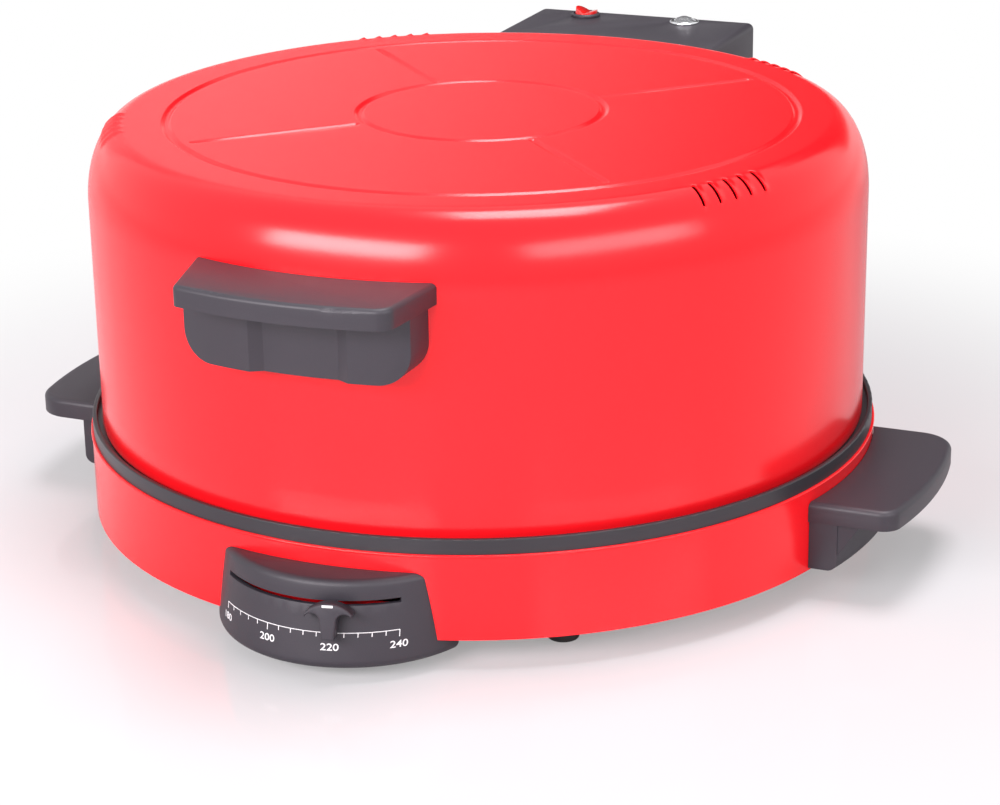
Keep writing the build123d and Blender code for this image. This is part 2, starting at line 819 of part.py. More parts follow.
# Hinge base: a hollow block behind the drum, with an ear at each end for the pin
ear_width = ear_outer - ear_inner
with BuildPart() as hinge_base:
    with Locations((0, 0, hinge_foot)):
        Box(2 * ear_outer, hinge_y + ear_radius, saddle_level - hinge_foot,
            align=(Align.CENTER, Align.MIN, Align.MIN))
    with BuildSketch(Plane.YZ.offset(ear_inner), Plane.YZ.offset(-ear_outer)):
        with BuildLine():
            Polyline((0, hinge_foot), (hinge_y + ear_radius, hinge_foot),
                     (hinge_y + ear_radius, hinge_z))
            CenterArc((hinge_y, hinge_z), ear_radius, 0, 90)
            ThreePointArc((hinge_y, hinge_z + ear_radius), (hinge_y - ear_radius * 0.8,
                          hinge_z + ear_radius * 0.6), (hinge_y - ear_radius, hinge_z))
            Polyline((hinge_y - ear_radius, hinge_z), (hinge_y - ear_radius, ear_root),
                     (0, ear_root), (0, hinge_foot))
        make_face()
    extrude(amount=ear_width)
    with Locations((0, 0, hinge_foot + plastic_wall + 2)):
        Box(2 * ear_inner - 2 * plastic_wall, hinge_y + ear_radius - 2 * plastic_wall,
            saddle_level - hinge_foot - 2 * plastic_wall - 2,
            align=(Align.CENTER, Align.MIN, Align.MIN), mode=Mode.SUBTRACT)
    with Locations((0, 0, hinge_foot - 5)):
        Cylinder(base_radius + fit, 100, align=UP, mode=Mode.SUBTRACT)
    with Locations((0, hinge_y, hinge_z)):
        Cylinder(pin_radius, 3 * ear_outer, rotation=(0, 90, 0), mode=Mode.SUBTRACT)
    fillet(hinge_base.faces().sort_by(Axis.Y)[-1].edges().filter_by(Axis.Z), 2.0)
    radial_bores(ear_screw_angles, ear_screw_level, 10, base_radius)
    bores(
        [Plane((0, hinge_y + ear_radius, gland_level), z_dir=(0, 1, 0))],
        4 * plastic_wall, gland_radius - 1.6,
    )
hinge_base.part.label = "hinge_base"
export_step(hinge_base.part, "parts/hinge_base.step")

hinge_base_screws = screws(
    [radial_plane(inner_seat(base_inside), a, ear_screw_level, False) for a in ear_screw_angles],
    shell_wall + fit + 8,
)
hinge_base_screws.label = "hinge_base_screws"
export_step(hinge_base_screws, "parts/hinge_base_screws.step")

with BuildPart() as hinge_pin:
    with Locations((0, hinge_y, hinge_z)):
        Cylinder(pin_radius, 2 * ear_outer, rotation=(0, 90, 0))
    chamfer(hinge_pin.edges().filter_by(GeomType.CIRCLE), 0.6)
hinge_pin.part.label = "hinge_pin"
export_step(hinge_pin.part, "parts/hinge_pin.step")

# Supply gland: a rubber bush in the hinge base, with a flange outside and a groove in the wall
gland_plane = Plane((0, hinge_y + ear_radius, gland_level), x_dir=(1, 0, 0), z_dir=(0, 1, 0))
with BuildPart() as cord_gland:
    with BuildSketch(gland_plane):
        Circle(gland_radius)
    extrude(amount=gland_flange)
    with BuildSketch(gland_plane):
        Circle(gland_radius - 1.6)
    extrude(amount=-2 * plastic_wall)
    with BuildSketch(gland_plane.offset(gland_flange)):
        Circle(gland_radius - 2)
    extrude(amount=gland_nose, taper=12)
    bores([gland_plane.offset(gland_flange + 6)], 30, gland_bore)
cord_gland.part.label = "cord_gland"
export_step(cord_gland.part, "parts/cord_gland.step")


def lid_outline(inset, foot):
    """Half of the lid's section as a closed outline, with the wall drawn in by the inset."""
    top = lid_top - inset
    half = bead_width / 2
    with BuildLine() as outline:
        Line((0, foot), (0, top))
        Line((0, top), (hub_bead - half, top))
        for ring, next_stop in ((hub_bead, ring_bead - half), (ring_bead, deck_radius)):
            ThreePointArc((ring - half, top), (ring, top - bead_depth), (ring + half, top))
            Line((ring + half, top), (next_stop, top))
        EllipticalCenterArc(
            (deck_radius, lid_top - shoulder_drop),
            shoulder_width - inset,
            shoulder_drop - inset,
            start_angle=0,
            arc_size=90,
        )
        Line((lid_radius - inset, lid_top - shoulder_drop), (lid_radius - inset, foot))
        Line((lid_radius - inset, foot), (0, foot))
    make_face(outline.edges())


# Lid: a deep drum with a pressed deck, sunk beads and four groups of vents on its shoulder
with BuildPart() as lid_shell:
    with BuildSketch(Plane.XZ):
        lid_outline(0, lid_bottom)
    revolve(axis=Axis.Z)
    with BuildSketch(Plane.XZ):
        lid_outline(shell_wall, lid_bottom - 5)
    revolve(axis=Axis.Z, mode=Mode.SUBTRACT)
    spoke_length = spoke_outer - spoke_inner
    for angle in (45, 135, 225, 315):
        across = Plane(
            on_circle(spoke_inner, angle, lid_top),
            x_dir=on_circle(1, angle + 90, 0),
            z_dir=on_circle(1, angle, 0),
        )
        for level, mode in ((-shell_wall, Mode.ADD), (0, Mode.SUBTRACT)):
            with BuildSketch(across):
                with BuildLine():
                    half = bead_width / 2
                    ThreePointArc((-half, level), (0, level - bead_depth), (half, level))
                    Line((half, level), (-half, level))
                make_face()
            extrude(amount=spoke_length, mode=mode)
    for middle in vent_angles:
        for k in range(vent_count):
            turn = middle + (k - (vent_count - 1) / 2) * vent_pitch
            slit = Plane(
                on_circle(deck_radius + vent_start, turn, lid_top - vent_drop),
                x_dir=on_circle(1, turn, 0),
                z_dir=(0, 0, 1),
            )
            with Locations(slit):
                Box(shoulder_width, vent_width, vent_drop + 1,
                    align=(Align.MIN, Align.CENTER, Align.MIN), mode=Mode.SUBTRACT)
    for level in strap_screw_levels:
        radial_bores(strap_screw_angles, level, 2, lid_inside, screw_radius + hole_gap)
    for level in box_screw_levels:
        radial_bores(box_screw_angles, level, 2, lid_inside, screw_radius + hole_gap)
    radial_bores(grip_screw_angles, grip_screw_level, 2, lid_inside, screw_radius + hole_gap)
lid_shell.part.label = "lid_shell"
export_step(lid_shell.part, "parts/lid_shell.step")

# Lining of the lid: a steel pan with a skirt spot welded to the lid's wall
with BuildPart() as lid_liner:
    with BuildSketch(Plane.XZ):
        with BuildLine():
            Polyline(
                (0, liner_top),
                (liner_radius, liner_top),
                (liner_radius, liner_foot + liner_wall),
                (lid_inside - liner_wall, liner_foot + liner_wall),
                (lid_inside - liner_wall, liner_foot + liner_skirt),
                (lid_inside, liner_foot + liner_skirt),
                (lid_inside, liner_foot),
                (liner_radius - liner_wall, liner_foot),
                (liner_radius - liner_wall, liner_top - liner_wall),
                (0, liner_top - liner_wall),
                close=True,
            )
        make_face()
    revolve(axis=Axis.Z)
    with BuildSketch(Plane.XY.offset(liner_top)):
        with Locations(*pin_places()):
            Circle(element_tube + 1.5)
        with Locations(*[on_circle(bar_ring, a) for a in bar_angles]):
            Circle(bar_screw_radius + hole_gap)
    extrude(amount=-liner_wall, mode=Mode.SUBTRACT)
lid_liner.part.label = "lid_liner"
export_step(lid_liner.part, "parts/lid_liner.step")

upper_element = ring_element(lid_element_level, lid_element_drop + pin_proud, UP)
upper_element.label = "upper_element"
export_step(upper_element, "parts/upper_element.step")

upper_bars = clamp_bars(lid_element_level - element_tube)
upper_bars.label = "upper_bars"
export_step(upper_bars, "parts/upper_bars.step")

# Studs that hang the upper bars from the lining, each with a head below and a nut above
stud_nut = 3.2
stud_foot = lid_element_level - element_tube - bar_wall
with BuildPart() as upper_studs:
    with Locations(*[on_circle(bar_ring, a, stud_foot) for a in bar_angles]):
        Cylinder(bar_screw_radius * 1.9, bar_head, align=DOWN)
        Cylinder(bar_screw_radius, liner_top + stud_nut + 2 - stud_foot, align=UP)
    with BuildSketch(Plane.XY.offset(liner_top)):
        with Locations(*[on_circle(bar_ring, a) for a in bar_angles]):
            RegularPolygon(bar_screw_radius * 2, 6)
    extrude(amount=stud_nut)
upper_studs.part.label = "upper_studs"
export_step(upper_studs.part, "parts/upper_studs.step")

# Front handle on the lid: a curved shelf over a hollow two-lobed grip
shelf_left = shelf_left_taper - shelf_half
shelf_right = shelf_half - shelf_right_taper
shelf_middle = (shelf_left + shelf_right) / 2
shelf_centre = shelf_arc - shelf_front
shelf_end = shelf_centre - sqrt(shelf_arc**2 - (shelf_right - shelf_middle) ** 2)
shelf_root = -sqrt(lid_radius**2 - shelf_half**2)
with BuildPart() as lid_handle:
    with BuildSketch(Plane.XY.offset(shelf_under)) as shelf:
        with BuildLine():
            Polyline((-shelf_half, shelf_root + 20), (-shelf_half, shelf_root),
                     (shelf_left, shelf_end))
            ThreePointArc((shelf_left, shelf_end), (shelf_middle, -shelf_front),
                          (shelf_right, shelf_end))
            Polyline((shelf_right, shelf_end), (shelf_half, shelf_root),
                     (shelf_half, shelf_root + 20), (-shelf_half, shelf_root + 20))
        make_face()
        fillet(shelf.vertices().sort_by_distance((shelf_left, shelf_end))[0], shelf_left_corner)
        fillet(shelf.vertices().sort_by_distance((shelf_right, shelf_end))[0], shelf_right_corner)
    extrude(amount=shelf_wall)
    fillet(lid_handle.faces().sort_by(Axis.Z)[-1].edges(), shelf_edge)
    with BuildSketch(Plane.XZ.offset(lid_radius - 30)) as lobes:
        with Locations((0, shelf_under)):
            Rectangle(2 * grip_half, shelf_under - grip_bottom,
                      align=(Align.CENTER, Align.MAX))
        fillet(lobes.vertices().group_by(Axis.Y)[0], grip_corner)
    extrude(amount=grip_front + 30 - lid_radius)
    with BuildSketch(Plane.XY.offset(grip_bottom - 1)):
        Rectangle(3 * grip_half, 2 * shelf_front)
        Circle(grip_front, mode=Mode.SUBTRACT)
    extrude(amount=shelf_under - grip_bottom + 1, mode=Mode.SUBTRACT)
    with BuildSketch(Plane.XY.offset(grip_bottom - 1)):
        sector(
            grip_front - grip_recess, grip_front + 20,
            degrees(shelf_middle / grip_front) - 90,
            degrees(asin(grip_recess_half / grip_front)),
            degrees(grip_recess_slope * (grip_recess + 20) / grip_front),
        )
    extrude(amount=shelf_under - grip_bottom + 1, mode=Mode.SUBTRACT)
    with BuildSketch(Plane.XY.offset(grip_bottom + plastic_wall)):
        sector(lid_radius - 10, grip_front - grip_recess - plastic_wall, -90,
               degrees(asin((grip_half - plastic_wall) / grip_front)) - 1.5)
    extrude(
        amount=shelf_under - grip_bottom - plastic_wall - 3, mode=Mode.SUBTRACT
    )
    with Locations(*[radial_plane(lid_radius - 5, a, grip_screw_level)
                     for a in grip_screw_angles]):
        Cylinder(grip_boss, grip_depth + 5 - 1, align=UP)
    with Locations((0, 0, 0)):
        Cylinder(lid_radius + fit, shelf_level * 2, mode=Mode.SUBTRACT)
    radial_bores(grip_screw_angles, grip_screw_level, 10, lid_radius)
lid_handle.part.label = "lid_handle"
export_step(lid_handle.part, "parts/lid_handle.step")

lid_handle_screws = screws(
    [radial_plane(inner_seat(lid_inside), a, grip_screw_level, False) for a in grip_screw_angles],
    shell_wall + fit + 8,
)
lid_handle_screws.label = "lid_handle_screws"
export_step(lid_handle_screws, "parts/lid_handle_screws.step")

# Hinge strap on the lid: a curved plate, two arms and a knuckle tube round the pin
strap_outer = lid_radius + fit + strap_wall
arm_root = sqrt(strap_outer**2 - arm_x**2) - 1.5
with BuildPart() as hinge_strap:
    with BuildSketch(Plane.XY.offset(strap_bottom)):
        sector(lid_radius + fit, strap_outer, 90, degrees(asin(strap_half / lid_radius)))
    extrude(amount=strap_top - strap_bottom)
    for s in (-1, 1):
        with BuildSketch(Plane.YZ.offset(s * arm_x - arm_wall / 2)):
            with BuildLine():
                Polyline(
                    (arm_root, strap_top - 6),
                    (arm_root + 8, strap_top - 6),
                    (hinge_y + 7, hinge_z),
                    (hinge_y - 7, hinge_z),
                    (arm_root, strap_bottom - 2),
                    close=True,
                )
            make_face()
        extrude(amount=arm_wall)
    with Locations((0, hinge_y, hinge_z)):
        Cylinder(knuckle_radius, 2 * knuckle_half, rotation=(0, 90, 0))
        Cylinder(pin_radius + running_gap, 3 * knuckle_half, rotation=(0, 90, 0),
                 mode=Mode.SUBTRACT)
    for level in strap_screw_levels:
        radial_bores(strap_screw_angles, level, 6, lid_radius, screw_radius)
hinge_strap.part.label = "hinge_strap"
export_step(hinge_strap.part, "parts/hinge_strap.step")

strap_screws = screws(
    [radial_plane(inner_seat(lid_inside), a, level, False)
     for a in strap_screw_angles for level in strap_screw_levels],
    shell_wall + strap_wall + 2,
)
strap_screws.label = "strap_screws"
export_step(strap_screws, "parts/strap_screws.step")

# Box behind the lid: a hollow cover over the strap, with a rounded skirt round the knuckle
with BuildPart() as hinge_box:
    with BuildSketch(Plane.XY.offset(box_bottom)) as outline:
        with Locations((box_shift, 0)):
            Rectangle(2 * box_half, box_back, align=(Align.CENTER, Align.MIN))
        fillet(outline.vertices().group_by(Axis.Y)[-1], box_edge)
    extrude(amount=box_top - box_bottom)
    fillet(hinge_box.faces().sort_by(Axis.Z)[-1].edges(), box_edge * 0.8)
    with Locations((box_shift, 0, box_bottom + plastic_wall)):
        Box(2 * (box_half - plastic_wall), box_back - plastic_wall,
            box_top - box_bottom - 2 * plastic_wall,
            align=(Align.CENTER, Align.MIN, Align.MIN), mode=Mode.SUBTRACT)
    skirt_inner = skirt_radius - plastic_wall
    with Locations((0, hinge_y + skirt_inner, hinge_z)):
        Box(2 * knuckle_half, plastic_wall, box_bottom + plastic_wall - hinge_z,
            align=(Align.CENTER, Align.MIN, Align.MIN))
    with BuildSketch(Plane.YZ.offset(-knuckle_half)):
        with BuildLine():
            lower = -skirt_sweep
            centre = (hinge_y, hinge_z)
            outer_arc = CenterArc(centre, skirt_radius, lower, skirt_sweep)
            inner_arc = CenterArc(centre, skirt_inner, lower, skirt_sweep)
            Line(outer_arc @ 0, inner_arc @ 0)
            Line(outer_arc @ 1, inner_arc @ 1)
        make_face()
    extrude(amount=2 * knuckle_half)
    with Locations((0, 0, box_bottom)):
        Box(2 * (knuckle_half - plastic_wall), hinge_y + skirt_inner, plastic_wall,
            align=(Align.CENTER, Align.MIN, Align.MIN), mode=Mode.SUBTRACT)
    with Locations(*[radial_plane(lid_radius - 5, a, level)
                     for a in box_screw_angles for level in box_screw_levels]):
        Cylinder(box_boss, box_boss_length + 5, align=UP)
    with BuildSketch(Plane.XZ):
        with BuildLine():
            Line((0, box_bottom - 1), (0, lid_top + 2))
            Line((0, lid_top + 2), (deck_radius, lid_top + 2))
            Line((deck_radius, lid_top + 2), (deck_radius, lid_top + fit))
            EllipticalCenterArc((deck_radius, lid_top - shoulder_drop), shoulder_width + fit,
                                shoulder_drop + fit, start_angle=0, arc_size=90)
            Line((lid_radius + fit, lid_top - shoulder_drop), (lid_radius + fit, box_bottom - 1))
            Line((lid_radius + fit, box_bottom - 1), (0, box_bottom - 1))
        make_face()
    revolve(axis=Axis.Z, mode=Mode.SUBTRACT)
    for level in box_screw_levels:
        radial_bores(box_screw_angles, level, 10, lid_radius)
    with Locations((-control_x, control_y, box_top)):
        Hole(switch_body_radius + hole_gap, plastic_wall * 2)
    with Locations((control_x, control_y, box_top)):
        Hole(lamp_bore + 1 + hole_gap, plastic_wall * 2)
hinge_box.part.label = "hinge_box"
export_step(hinge_box.part, "parts/hinge_box.step")

box_screws = screws(
    [radial_plane(inner_seat(lid_inside), a, level, False)
     for a in box_screw_angles for level in box_screw_levels],
    shell_wall + fit + 8,
)
box_screws.label = "box_screws"
export_step(box_screws, "parts/box_screws.step")

# Round rocker switch: a snap-in body, a bezel and the rocker on its trunnions
trunnion_level = box_top - 1.0
with BuildPart() as switch_body:
    with Locations((-control_x, control_y, box_top)):
        Cylinder(bezel_radius, bezel_rise, align=UP)
    chamfer(switch_body.edges().filter_by(GeomType.CIRCLE).group_by(Axis.Z)[-1], 0.8)
    with Locations((-control_x, control_y, box_top)):
        Cylinder(switch_body_radius, switch_body_length, align=DOWN)
        Cylinder(bezel_bore, bezel_rise, align=UP, mode=Mode.SUBTRACT)
        Cylinder(bezel_bore, rocker_keel + 5, align=DOWN, mode=Mode.SUBTRACT)
    with Locations((-control_x, control_y, trunnion_level)):
        Cylinder(trunnion_radius + running_gap, 2 * bezel_bore + 0.8, rotation=(90, 0, 0),
                 mode=Mode.SUBTRACT)
    with Locations(*[(-control_x, control_y + k * 5, box_top - switch_body_length)
                     for k in (-1, 1)]):
        Box(4.8, 0.8, 8, align=DOWN)
switch_body.part.label = "switch_body"
export_step(switch_body.part, "parts/switch_body.step")

# The rocker's top is a shallow valley; at rest its left end stands up
rocker_plane = Plane(
    (-control_x, control_y, trunnion_level),
    x_dir=(cos(radians(rocker_tilt)), 0, -sin(radians(rocker_tilt))),
    z_dir=(0, -1, 0),
)
with BuildPart() as switch_rocker:
    with BuildSketch(rocker_plane):
        with BuildLine():
            Polyline(
                (-rocker_radius, rocker_crest),
                (0, rocker_valley),
                (rocker_radius, rocker_crest),
                (rocker_radius, -0.5),
                (rocker_radius / 2, -rocker_keel),
                (-rocker_radius / 2, -rocker_keel),
                (-rocker_radius, -0.5),
                close=True,
            )
        make_face()
    extrude(amount=rocker_radius, both=True)
    with BuildSketch(Plane(rocker_plane.origin, x_dir=rocker_plane.x_dir, z_dir=rocker_plane.y_dir)):
        Circle(rocker_radius)
    extrude(amount=3 * rocker_crest, both=True, mode=Mode.INTERSECT)
    with Locations((-control_x, control_y, trunnion_level)):
        Cylinder(trunnion_radius, 2 * bezel_bore + 0.6, rotation=(90, 0, 0))
switch_rocker.part.label = "switch_rocker"
export_step(switch_rocker.part, "parts/switch_rocker.step")

# Indicator lamp: a plated ring, a clear lens and the neon body below it
with BuildPart() as lamp_bezel:
    with BuildSketch(Plane((control_x, control_y, box_top))):
        Circle(lamp_flange)
        Circle(lamp_bore, mode=Mode.SUBTRACT)
    extrude(amount=1.8)
    chamfer(lamp_bezel.edges().filter_by(GeomType.CIRCLE).group_by(Axis.Z)[-1], 0.7)
    with BuildSketch(Plane((control_x, control_y, box_top))):
        Circle(lamp_bore + 1)
        Circle(lamp_bore, mode=Mode.SUBTRACT)
    extrude(amount=-9)
lamp_bezel.part.label = "lamp_bezel"
export_step(lamp_bezel.part, "parts/lamp_bezel.step")

lens_foot = box_top - 4
dome_radius = (lamp_bore**2 + lamp_dome**2) / (2 * lamp_dome)
with BuildPart() as lamp_lens:
    with BuildSketch(Plane((control_x, control_y, 0), x_dir=(1, 0, 0), z_dir=(0, -1, 0))):
        with BuildLine():
            crown = box_top + 1 + lamp_dome
            bend = dome_radius * sin(asin(lamp_bore / dome_radius) / 2)
            Line((0, lens_foot), (lamp_bore, lens_foot))
            Line((lamp_bore, lens_foot), (lamp_bore, box_top + 1))
            ThreePointArc(
                (lamp_bore, box_top + 1),
                (bend, crown - dome_radius + sqrt(dome_radius**2 - bend**2)),
                (0, crown),
            )
            Line((0, crown), (0, lens_foot))
        make_face()
    revolve(axis=Axis((control_x, control_y, 0), (0, 0, 1)))
lamp_lens.part.label = "lamp_lens"
export_step(lamp_lens.part, "parts/lamp_lens.step")

with BuildPart() as lamp_body:
    with Locations((control_x, control_y, lens_foot)):
        Cylinder(lamp_bore, 14, align=DOWN)
    with Locations((control_x, control_y, box_top - 9)):
        Cylinder(lamp_bore + 1, 4, align=DOWN)
    with Locations(*[(control_x + k * 3.5, control_y, lens_foot - 14) for k in (-1, 1)]):
        Box(0.8, 4.8, 8, align=DOWN)
lamp_body.part.label = "lamp_body"
export_step(lamp_body.part, "parts/lamp_body.step")
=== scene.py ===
"""A countertop roti maker, built round its CAD frame. Laid out as an add-on, run as a script."""

import json
import math

import bmesh
import bpy
from bpy.props import FloatProperty, FloatVectorProperty, IntProperty, PointerProperty
from mathutils import Matrix, Vector


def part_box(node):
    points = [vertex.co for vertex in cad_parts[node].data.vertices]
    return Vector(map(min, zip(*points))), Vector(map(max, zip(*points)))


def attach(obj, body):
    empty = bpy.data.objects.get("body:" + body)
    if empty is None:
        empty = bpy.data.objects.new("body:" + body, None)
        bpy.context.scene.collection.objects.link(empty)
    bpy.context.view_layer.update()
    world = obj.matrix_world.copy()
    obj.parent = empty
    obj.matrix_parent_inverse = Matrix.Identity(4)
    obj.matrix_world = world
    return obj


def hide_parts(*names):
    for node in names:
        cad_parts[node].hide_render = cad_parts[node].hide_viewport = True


bl_info = {
    "name": "Roti maker",
    "version": (1, 0, 0),
    "blender": (4, 5, 0),
    "location": "3D View > Sidebar > Roti maker",
    "description": "Builds the visible pieces of a roti maker round its CAD frame",
    "category": "Object",
}

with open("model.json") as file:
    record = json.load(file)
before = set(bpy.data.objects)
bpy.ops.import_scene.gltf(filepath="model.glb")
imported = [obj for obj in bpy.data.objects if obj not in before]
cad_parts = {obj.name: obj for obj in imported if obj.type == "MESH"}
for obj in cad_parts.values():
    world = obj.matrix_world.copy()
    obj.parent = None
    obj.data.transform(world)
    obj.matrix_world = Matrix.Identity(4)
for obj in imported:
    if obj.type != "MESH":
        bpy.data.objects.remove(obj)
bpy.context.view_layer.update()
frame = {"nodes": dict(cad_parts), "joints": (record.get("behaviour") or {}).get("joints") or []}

MM = 0.001
LID_LOW, LID_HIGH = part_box("lid_shell")
JOINTS = {joint["name"]: joint for joint in frame["joints"]}
WELD = 0.002 * MM
SMOOTH_ANGLE = 32.0
FLAT_ANGLE = math.radians(0.4)
SPOKE_ANGLES = (45, 135, 225, 315)
VENT_ANGLES = (-152.0, -28.0, 52.0, 128.0)
LOUVRES = range(-2, 3)


def length(name, description, size):
    """A property that holds a length, given in millimetres and kept in metres."""
    return FloatProperty(
        name=name, description=description, default=size * MM, unit="LENGTH", precision=5
    )


def colour(name, description, red, green, blue):
    """A property that holds a colour of a finish."""
    return FloatVectorProperty(
        name=name, description=description, default=(red, green, blue), subtype="COLOR",
        size=3, min=0.0, max=1.0,
    )


class LidSizes(bpy.types.PropertyGroup):
    """Sizes of the pressed lid."""

    wall: length("Wall", "Thickness of the lid's sheet", 0.8)
    shoulder_width: length("Shoulder width", "How far in the rounded shoulder reaches", 21)
    shoulder_drop: length("Shoulder drop", "How far down the rounded shoulder reaches", 39)
    bead_width: length("Bead width", "Width of a sunk bead in the deck", 5.2)
    bead_depth: length("Bead depth", "Depth of a sunk bead in the deck", 1.3)
    bead_shift: length("Bead shift", "How far right of the middle the beads are pressed", 2.5)
    hub_radius: length("Hub radius", "Radius of the bead round the middle", 65.5)
    ring_radius: length("Ring radius", "Radius of the bead round the deck", 168)
    spoke_start: length("Spoke start", "Where the straight beads begin", 69)
    spoke_end: length("Spoke end", "Where the straight beads end", 162)
    louvre_rise: length("Louvre rise", "How far a louvre's lip stands proud", 1.1)
    louvre_run: length("Louvre run", "How wide a louvre's slope is", 4.6)
    louvre_start: length("Louvre start", "Where a hood begins, out from the deck's edge", 0)
    louvre_end: length("Louvre end", "Where a hood ends, out from the deck's edge", 14)
    slit_width: length("Slit width", "Width of the opening beside a lip", 1.1)
    slit_start: length("Slit start", "Where a slit begins, out from the deck's edge", 1.6)
    slit_end: length("Slit end", "Where a slit ends, out from the deck's edge", 12.5)
    louvre_pitch: FloatProperty(
        name="Louvre pitch", description="Angle between neighbouring louvres",
        default=math.radians(2.9), unit="ROTATION",
    )


class DialSizes(bpy.types.PropertyGroup):
    """Sizes of the temperature scale on the dial housing."""

    radius: length("Radius", "Radius of the housing's round face", 70)
    lean: length("Lean", "How far the face leans back over its height", 8.5)
    tick_count: IntProperty(
        name="Tick count", description="Marks along the scale", default=16, min=2, max=60
    )
    tick_level: length("Tick level", "Height of the marks' upper ends", 26.0)
    line_width: length("Line width", "Width of the line that joins the marks", 0.35)
    tick_width: length("Tick width", "Width of a mark", 0.45)
    short_tick: length("Short tick", "Length of a short mark", 2.2)
    long_tick: length("Long tick", "Length of a mark at a number", 3.4)
    number_level: length("Number level", "Height of the numbers' middle", 18.8)
    number_size: length("Number size", "Height of the type", 4.9)
    number_width: FloatProperty(
        name="Number width", description="How much wider than usual the type is", default=1.28
    )
    pointer_length: length("Pointer length", "Length of the bar printed on the knob", 5.4)
    pointer_width: length("Pointer width", "Width of the bar printed on the knob", 1.2)
    half_sweep: FloatProperty(
        name="Half sweep", description="Angle from the scale's middle to its end",
        default=math.radians(42), unit="ROTATION",
    )


class Finishes(bpy.types.PropertyGroup):
    """Colours of the finishes."""

    enamel: colour("Enamel", "Gloss enamel of the drum and the lid", 0.93, 0.008, 0.014)
    plastic: colour("Plastic", "Handles, housings and hinge cover", 0.029, 0.025, 0.033)
    plate: colour("Plate", "Non-stick coat of the cooking plate", 0.022, 0.020, 0.025)
    steel: colour("Steel", "Zinc-plated sheet and screws", 0.60, 0.60, 0.59)
    heater: colour("Heater", "Oxidised heater tube", 0.16, 0.155, 0.15)
    ink: colour("Ink", "Print of the scale", 0.80, 0.80, 0.80)
    rocker: colour("Rocker", "Translucent switch rocker", 0.72, 0.012, 0.010)
    floor: colour("Floor", "Floor below the object", 0.62, 0.61, 0.62)


class Term:
    """A number in a node tree, so that its arithmetic reads as plain expressions."""

    def __init__(self, tree, socket):
        self.tree = tree
        self.socket = socket

    def node(self, operation, *others):
        made = self.tree.nodes.new("ShaderNodeMath")
        made.operation = operation
        for slot, item in zip(made.inputs, (self, *others)):
            if isinstance(item, Term):
                self.tree.links.new(item.socket, slot)
            else:
                slot.default_value = item
        return Term(self.tree, made.outputs[0])

    def __add__(self, other):
        return self.node("ADD", other)

    def __sub__(self, other):
        return self.node("SUBTRACT", other)

    def __mul__(self, other):
        return self.node("MULTIPLY", other)

    def __truediv__(self, other):
        return self.node("DIVIDE", other)

    def size(self):
        return self.node("ABSOLUTE")

    def most(self, other):
        return self.node("MAXIMUM", other)

    def least(self, other):
        return self.node("MINIMUM", other)

    def ramp(self, start, stop):
        """0 up to start and 1 from stop on, with a smooth rise between."""
        made = self.tree.nodes.new("ShaderNodeMapRange")
        made.interpolation_type = "SMOOTHSTEP"
        self.tree.links.new(self.socket, made.inputs["Value"])
        for label, item in (("From Min", start), ("From Max", stop)):
            if isinstance(item, Term):
                self.tree.links.new(item.socket, made.inputs[label])
            else:
                made.inputs[label].default_value = item
        return Term(self.tree, made.outputs["Result"])


SOCKETS = {
    "mesh": "NodeSocketGeometry", "number": "NodeSocketFloat", "count": "NodeSocketInt",
    "material": "NodeSocketMaterial", "colour": "NodeSocketColor", "vector": "NodeSocketVector",
}


def new_tree(kind, name, inputs, outputs):
    """An empty tree with named sockets, and its input and output nodes."""
    tree = bpy.data.node_groups.new(name, kind)
    for way, sockets in (("INPUT", inputs), ("OUTPUT", outputs)):
        for label, what in sockets:
            tree.interface.new_socket(label, in_out=way, socket_type=SOCKETS[what])
    return tree, tree.nodes.new("NodeGroupInput"), tree.nodes.new("NodeGroupOutput")


def add_node(tree, kind, settings=None, **inputs):
    """A node with its settings, and each input given by name as a value, Term or socket."""
    made = tree.nodes.new(kind)
    for key, value in (settings or {}).items():
        setattr(made, key, value)
    for key, value in inputs.items():
        slot = made.inputs[int(key[1:])] if key[1:].isdigit() else made.inputs[key.replace("_", " ")]
        if isinstance(value, Term):
            tree.links.new(value.socket, slot)
        elif isinstance(value, bpy.types.NodeSocket):
            tree.links.new(value, slot)
        else:
            slot.default_value = value
    return made


def finish_geometry(tree, given, result, socket):
    """Ends a geometry tree with real meshes that wear the given material."""
    real = add_node(tree, "GeometryNodeRealizeInstances", Geometry=socket)
    worn = add_node(
        tree, "GeometryNodeSetMaterial", Geometry=real.outputs[0], Material=given.outputs["Material"]
    )
    tree.links.new(worn.outputs[0], result.inputs[0])


def link(obj):
    """Puts a new object into the scene."""
    bpy.context.scene.collection.objects.link(obj)
    return obj


def settle(obj):
    """Turns the object's modifiers into plain mesh."""
    shown = obj.evaluated_get(bpy.context.evaluated_depsgraph_get())
    mesh = bpy.data.meshes.new_from_object(shown)
    obj.modifiers.clear()
    obj.data = mesh
    return obj


def grow(name, tree, mesh, values):
    """Runs a geometry tree on a mesh with the given inputs, and keeps its plain result."""
    obj = link(bpy.data.objects.new(name, mesh))
    modifier = obj.modifiers.new("Shape", "NODES")
    modifier.node_group = tree
    for item in tree.interface.items_tree:
        if item.in_out == "INPUT" and item.name in values:
            modifier[item.identifier] = values[item.name]
    return settle(obj)


def smooth(mesh, angle=SMOOTH_ANGLE):
    """Shades a mesh smooth, apart from edges that turn by more than the angle in degrees."""
    work = bmesh.new()
    work.from_mesh(mesh)
    for face in work.faces:
        face.smooth = True
    limit = math.radians(angle)
    for edge in work.edges:
        edge.smooth = len(edge.link_faces) == 2 and edge.calc_face_angle(0.0) < limit
    work.to_mesh(mesh)
    work.free()


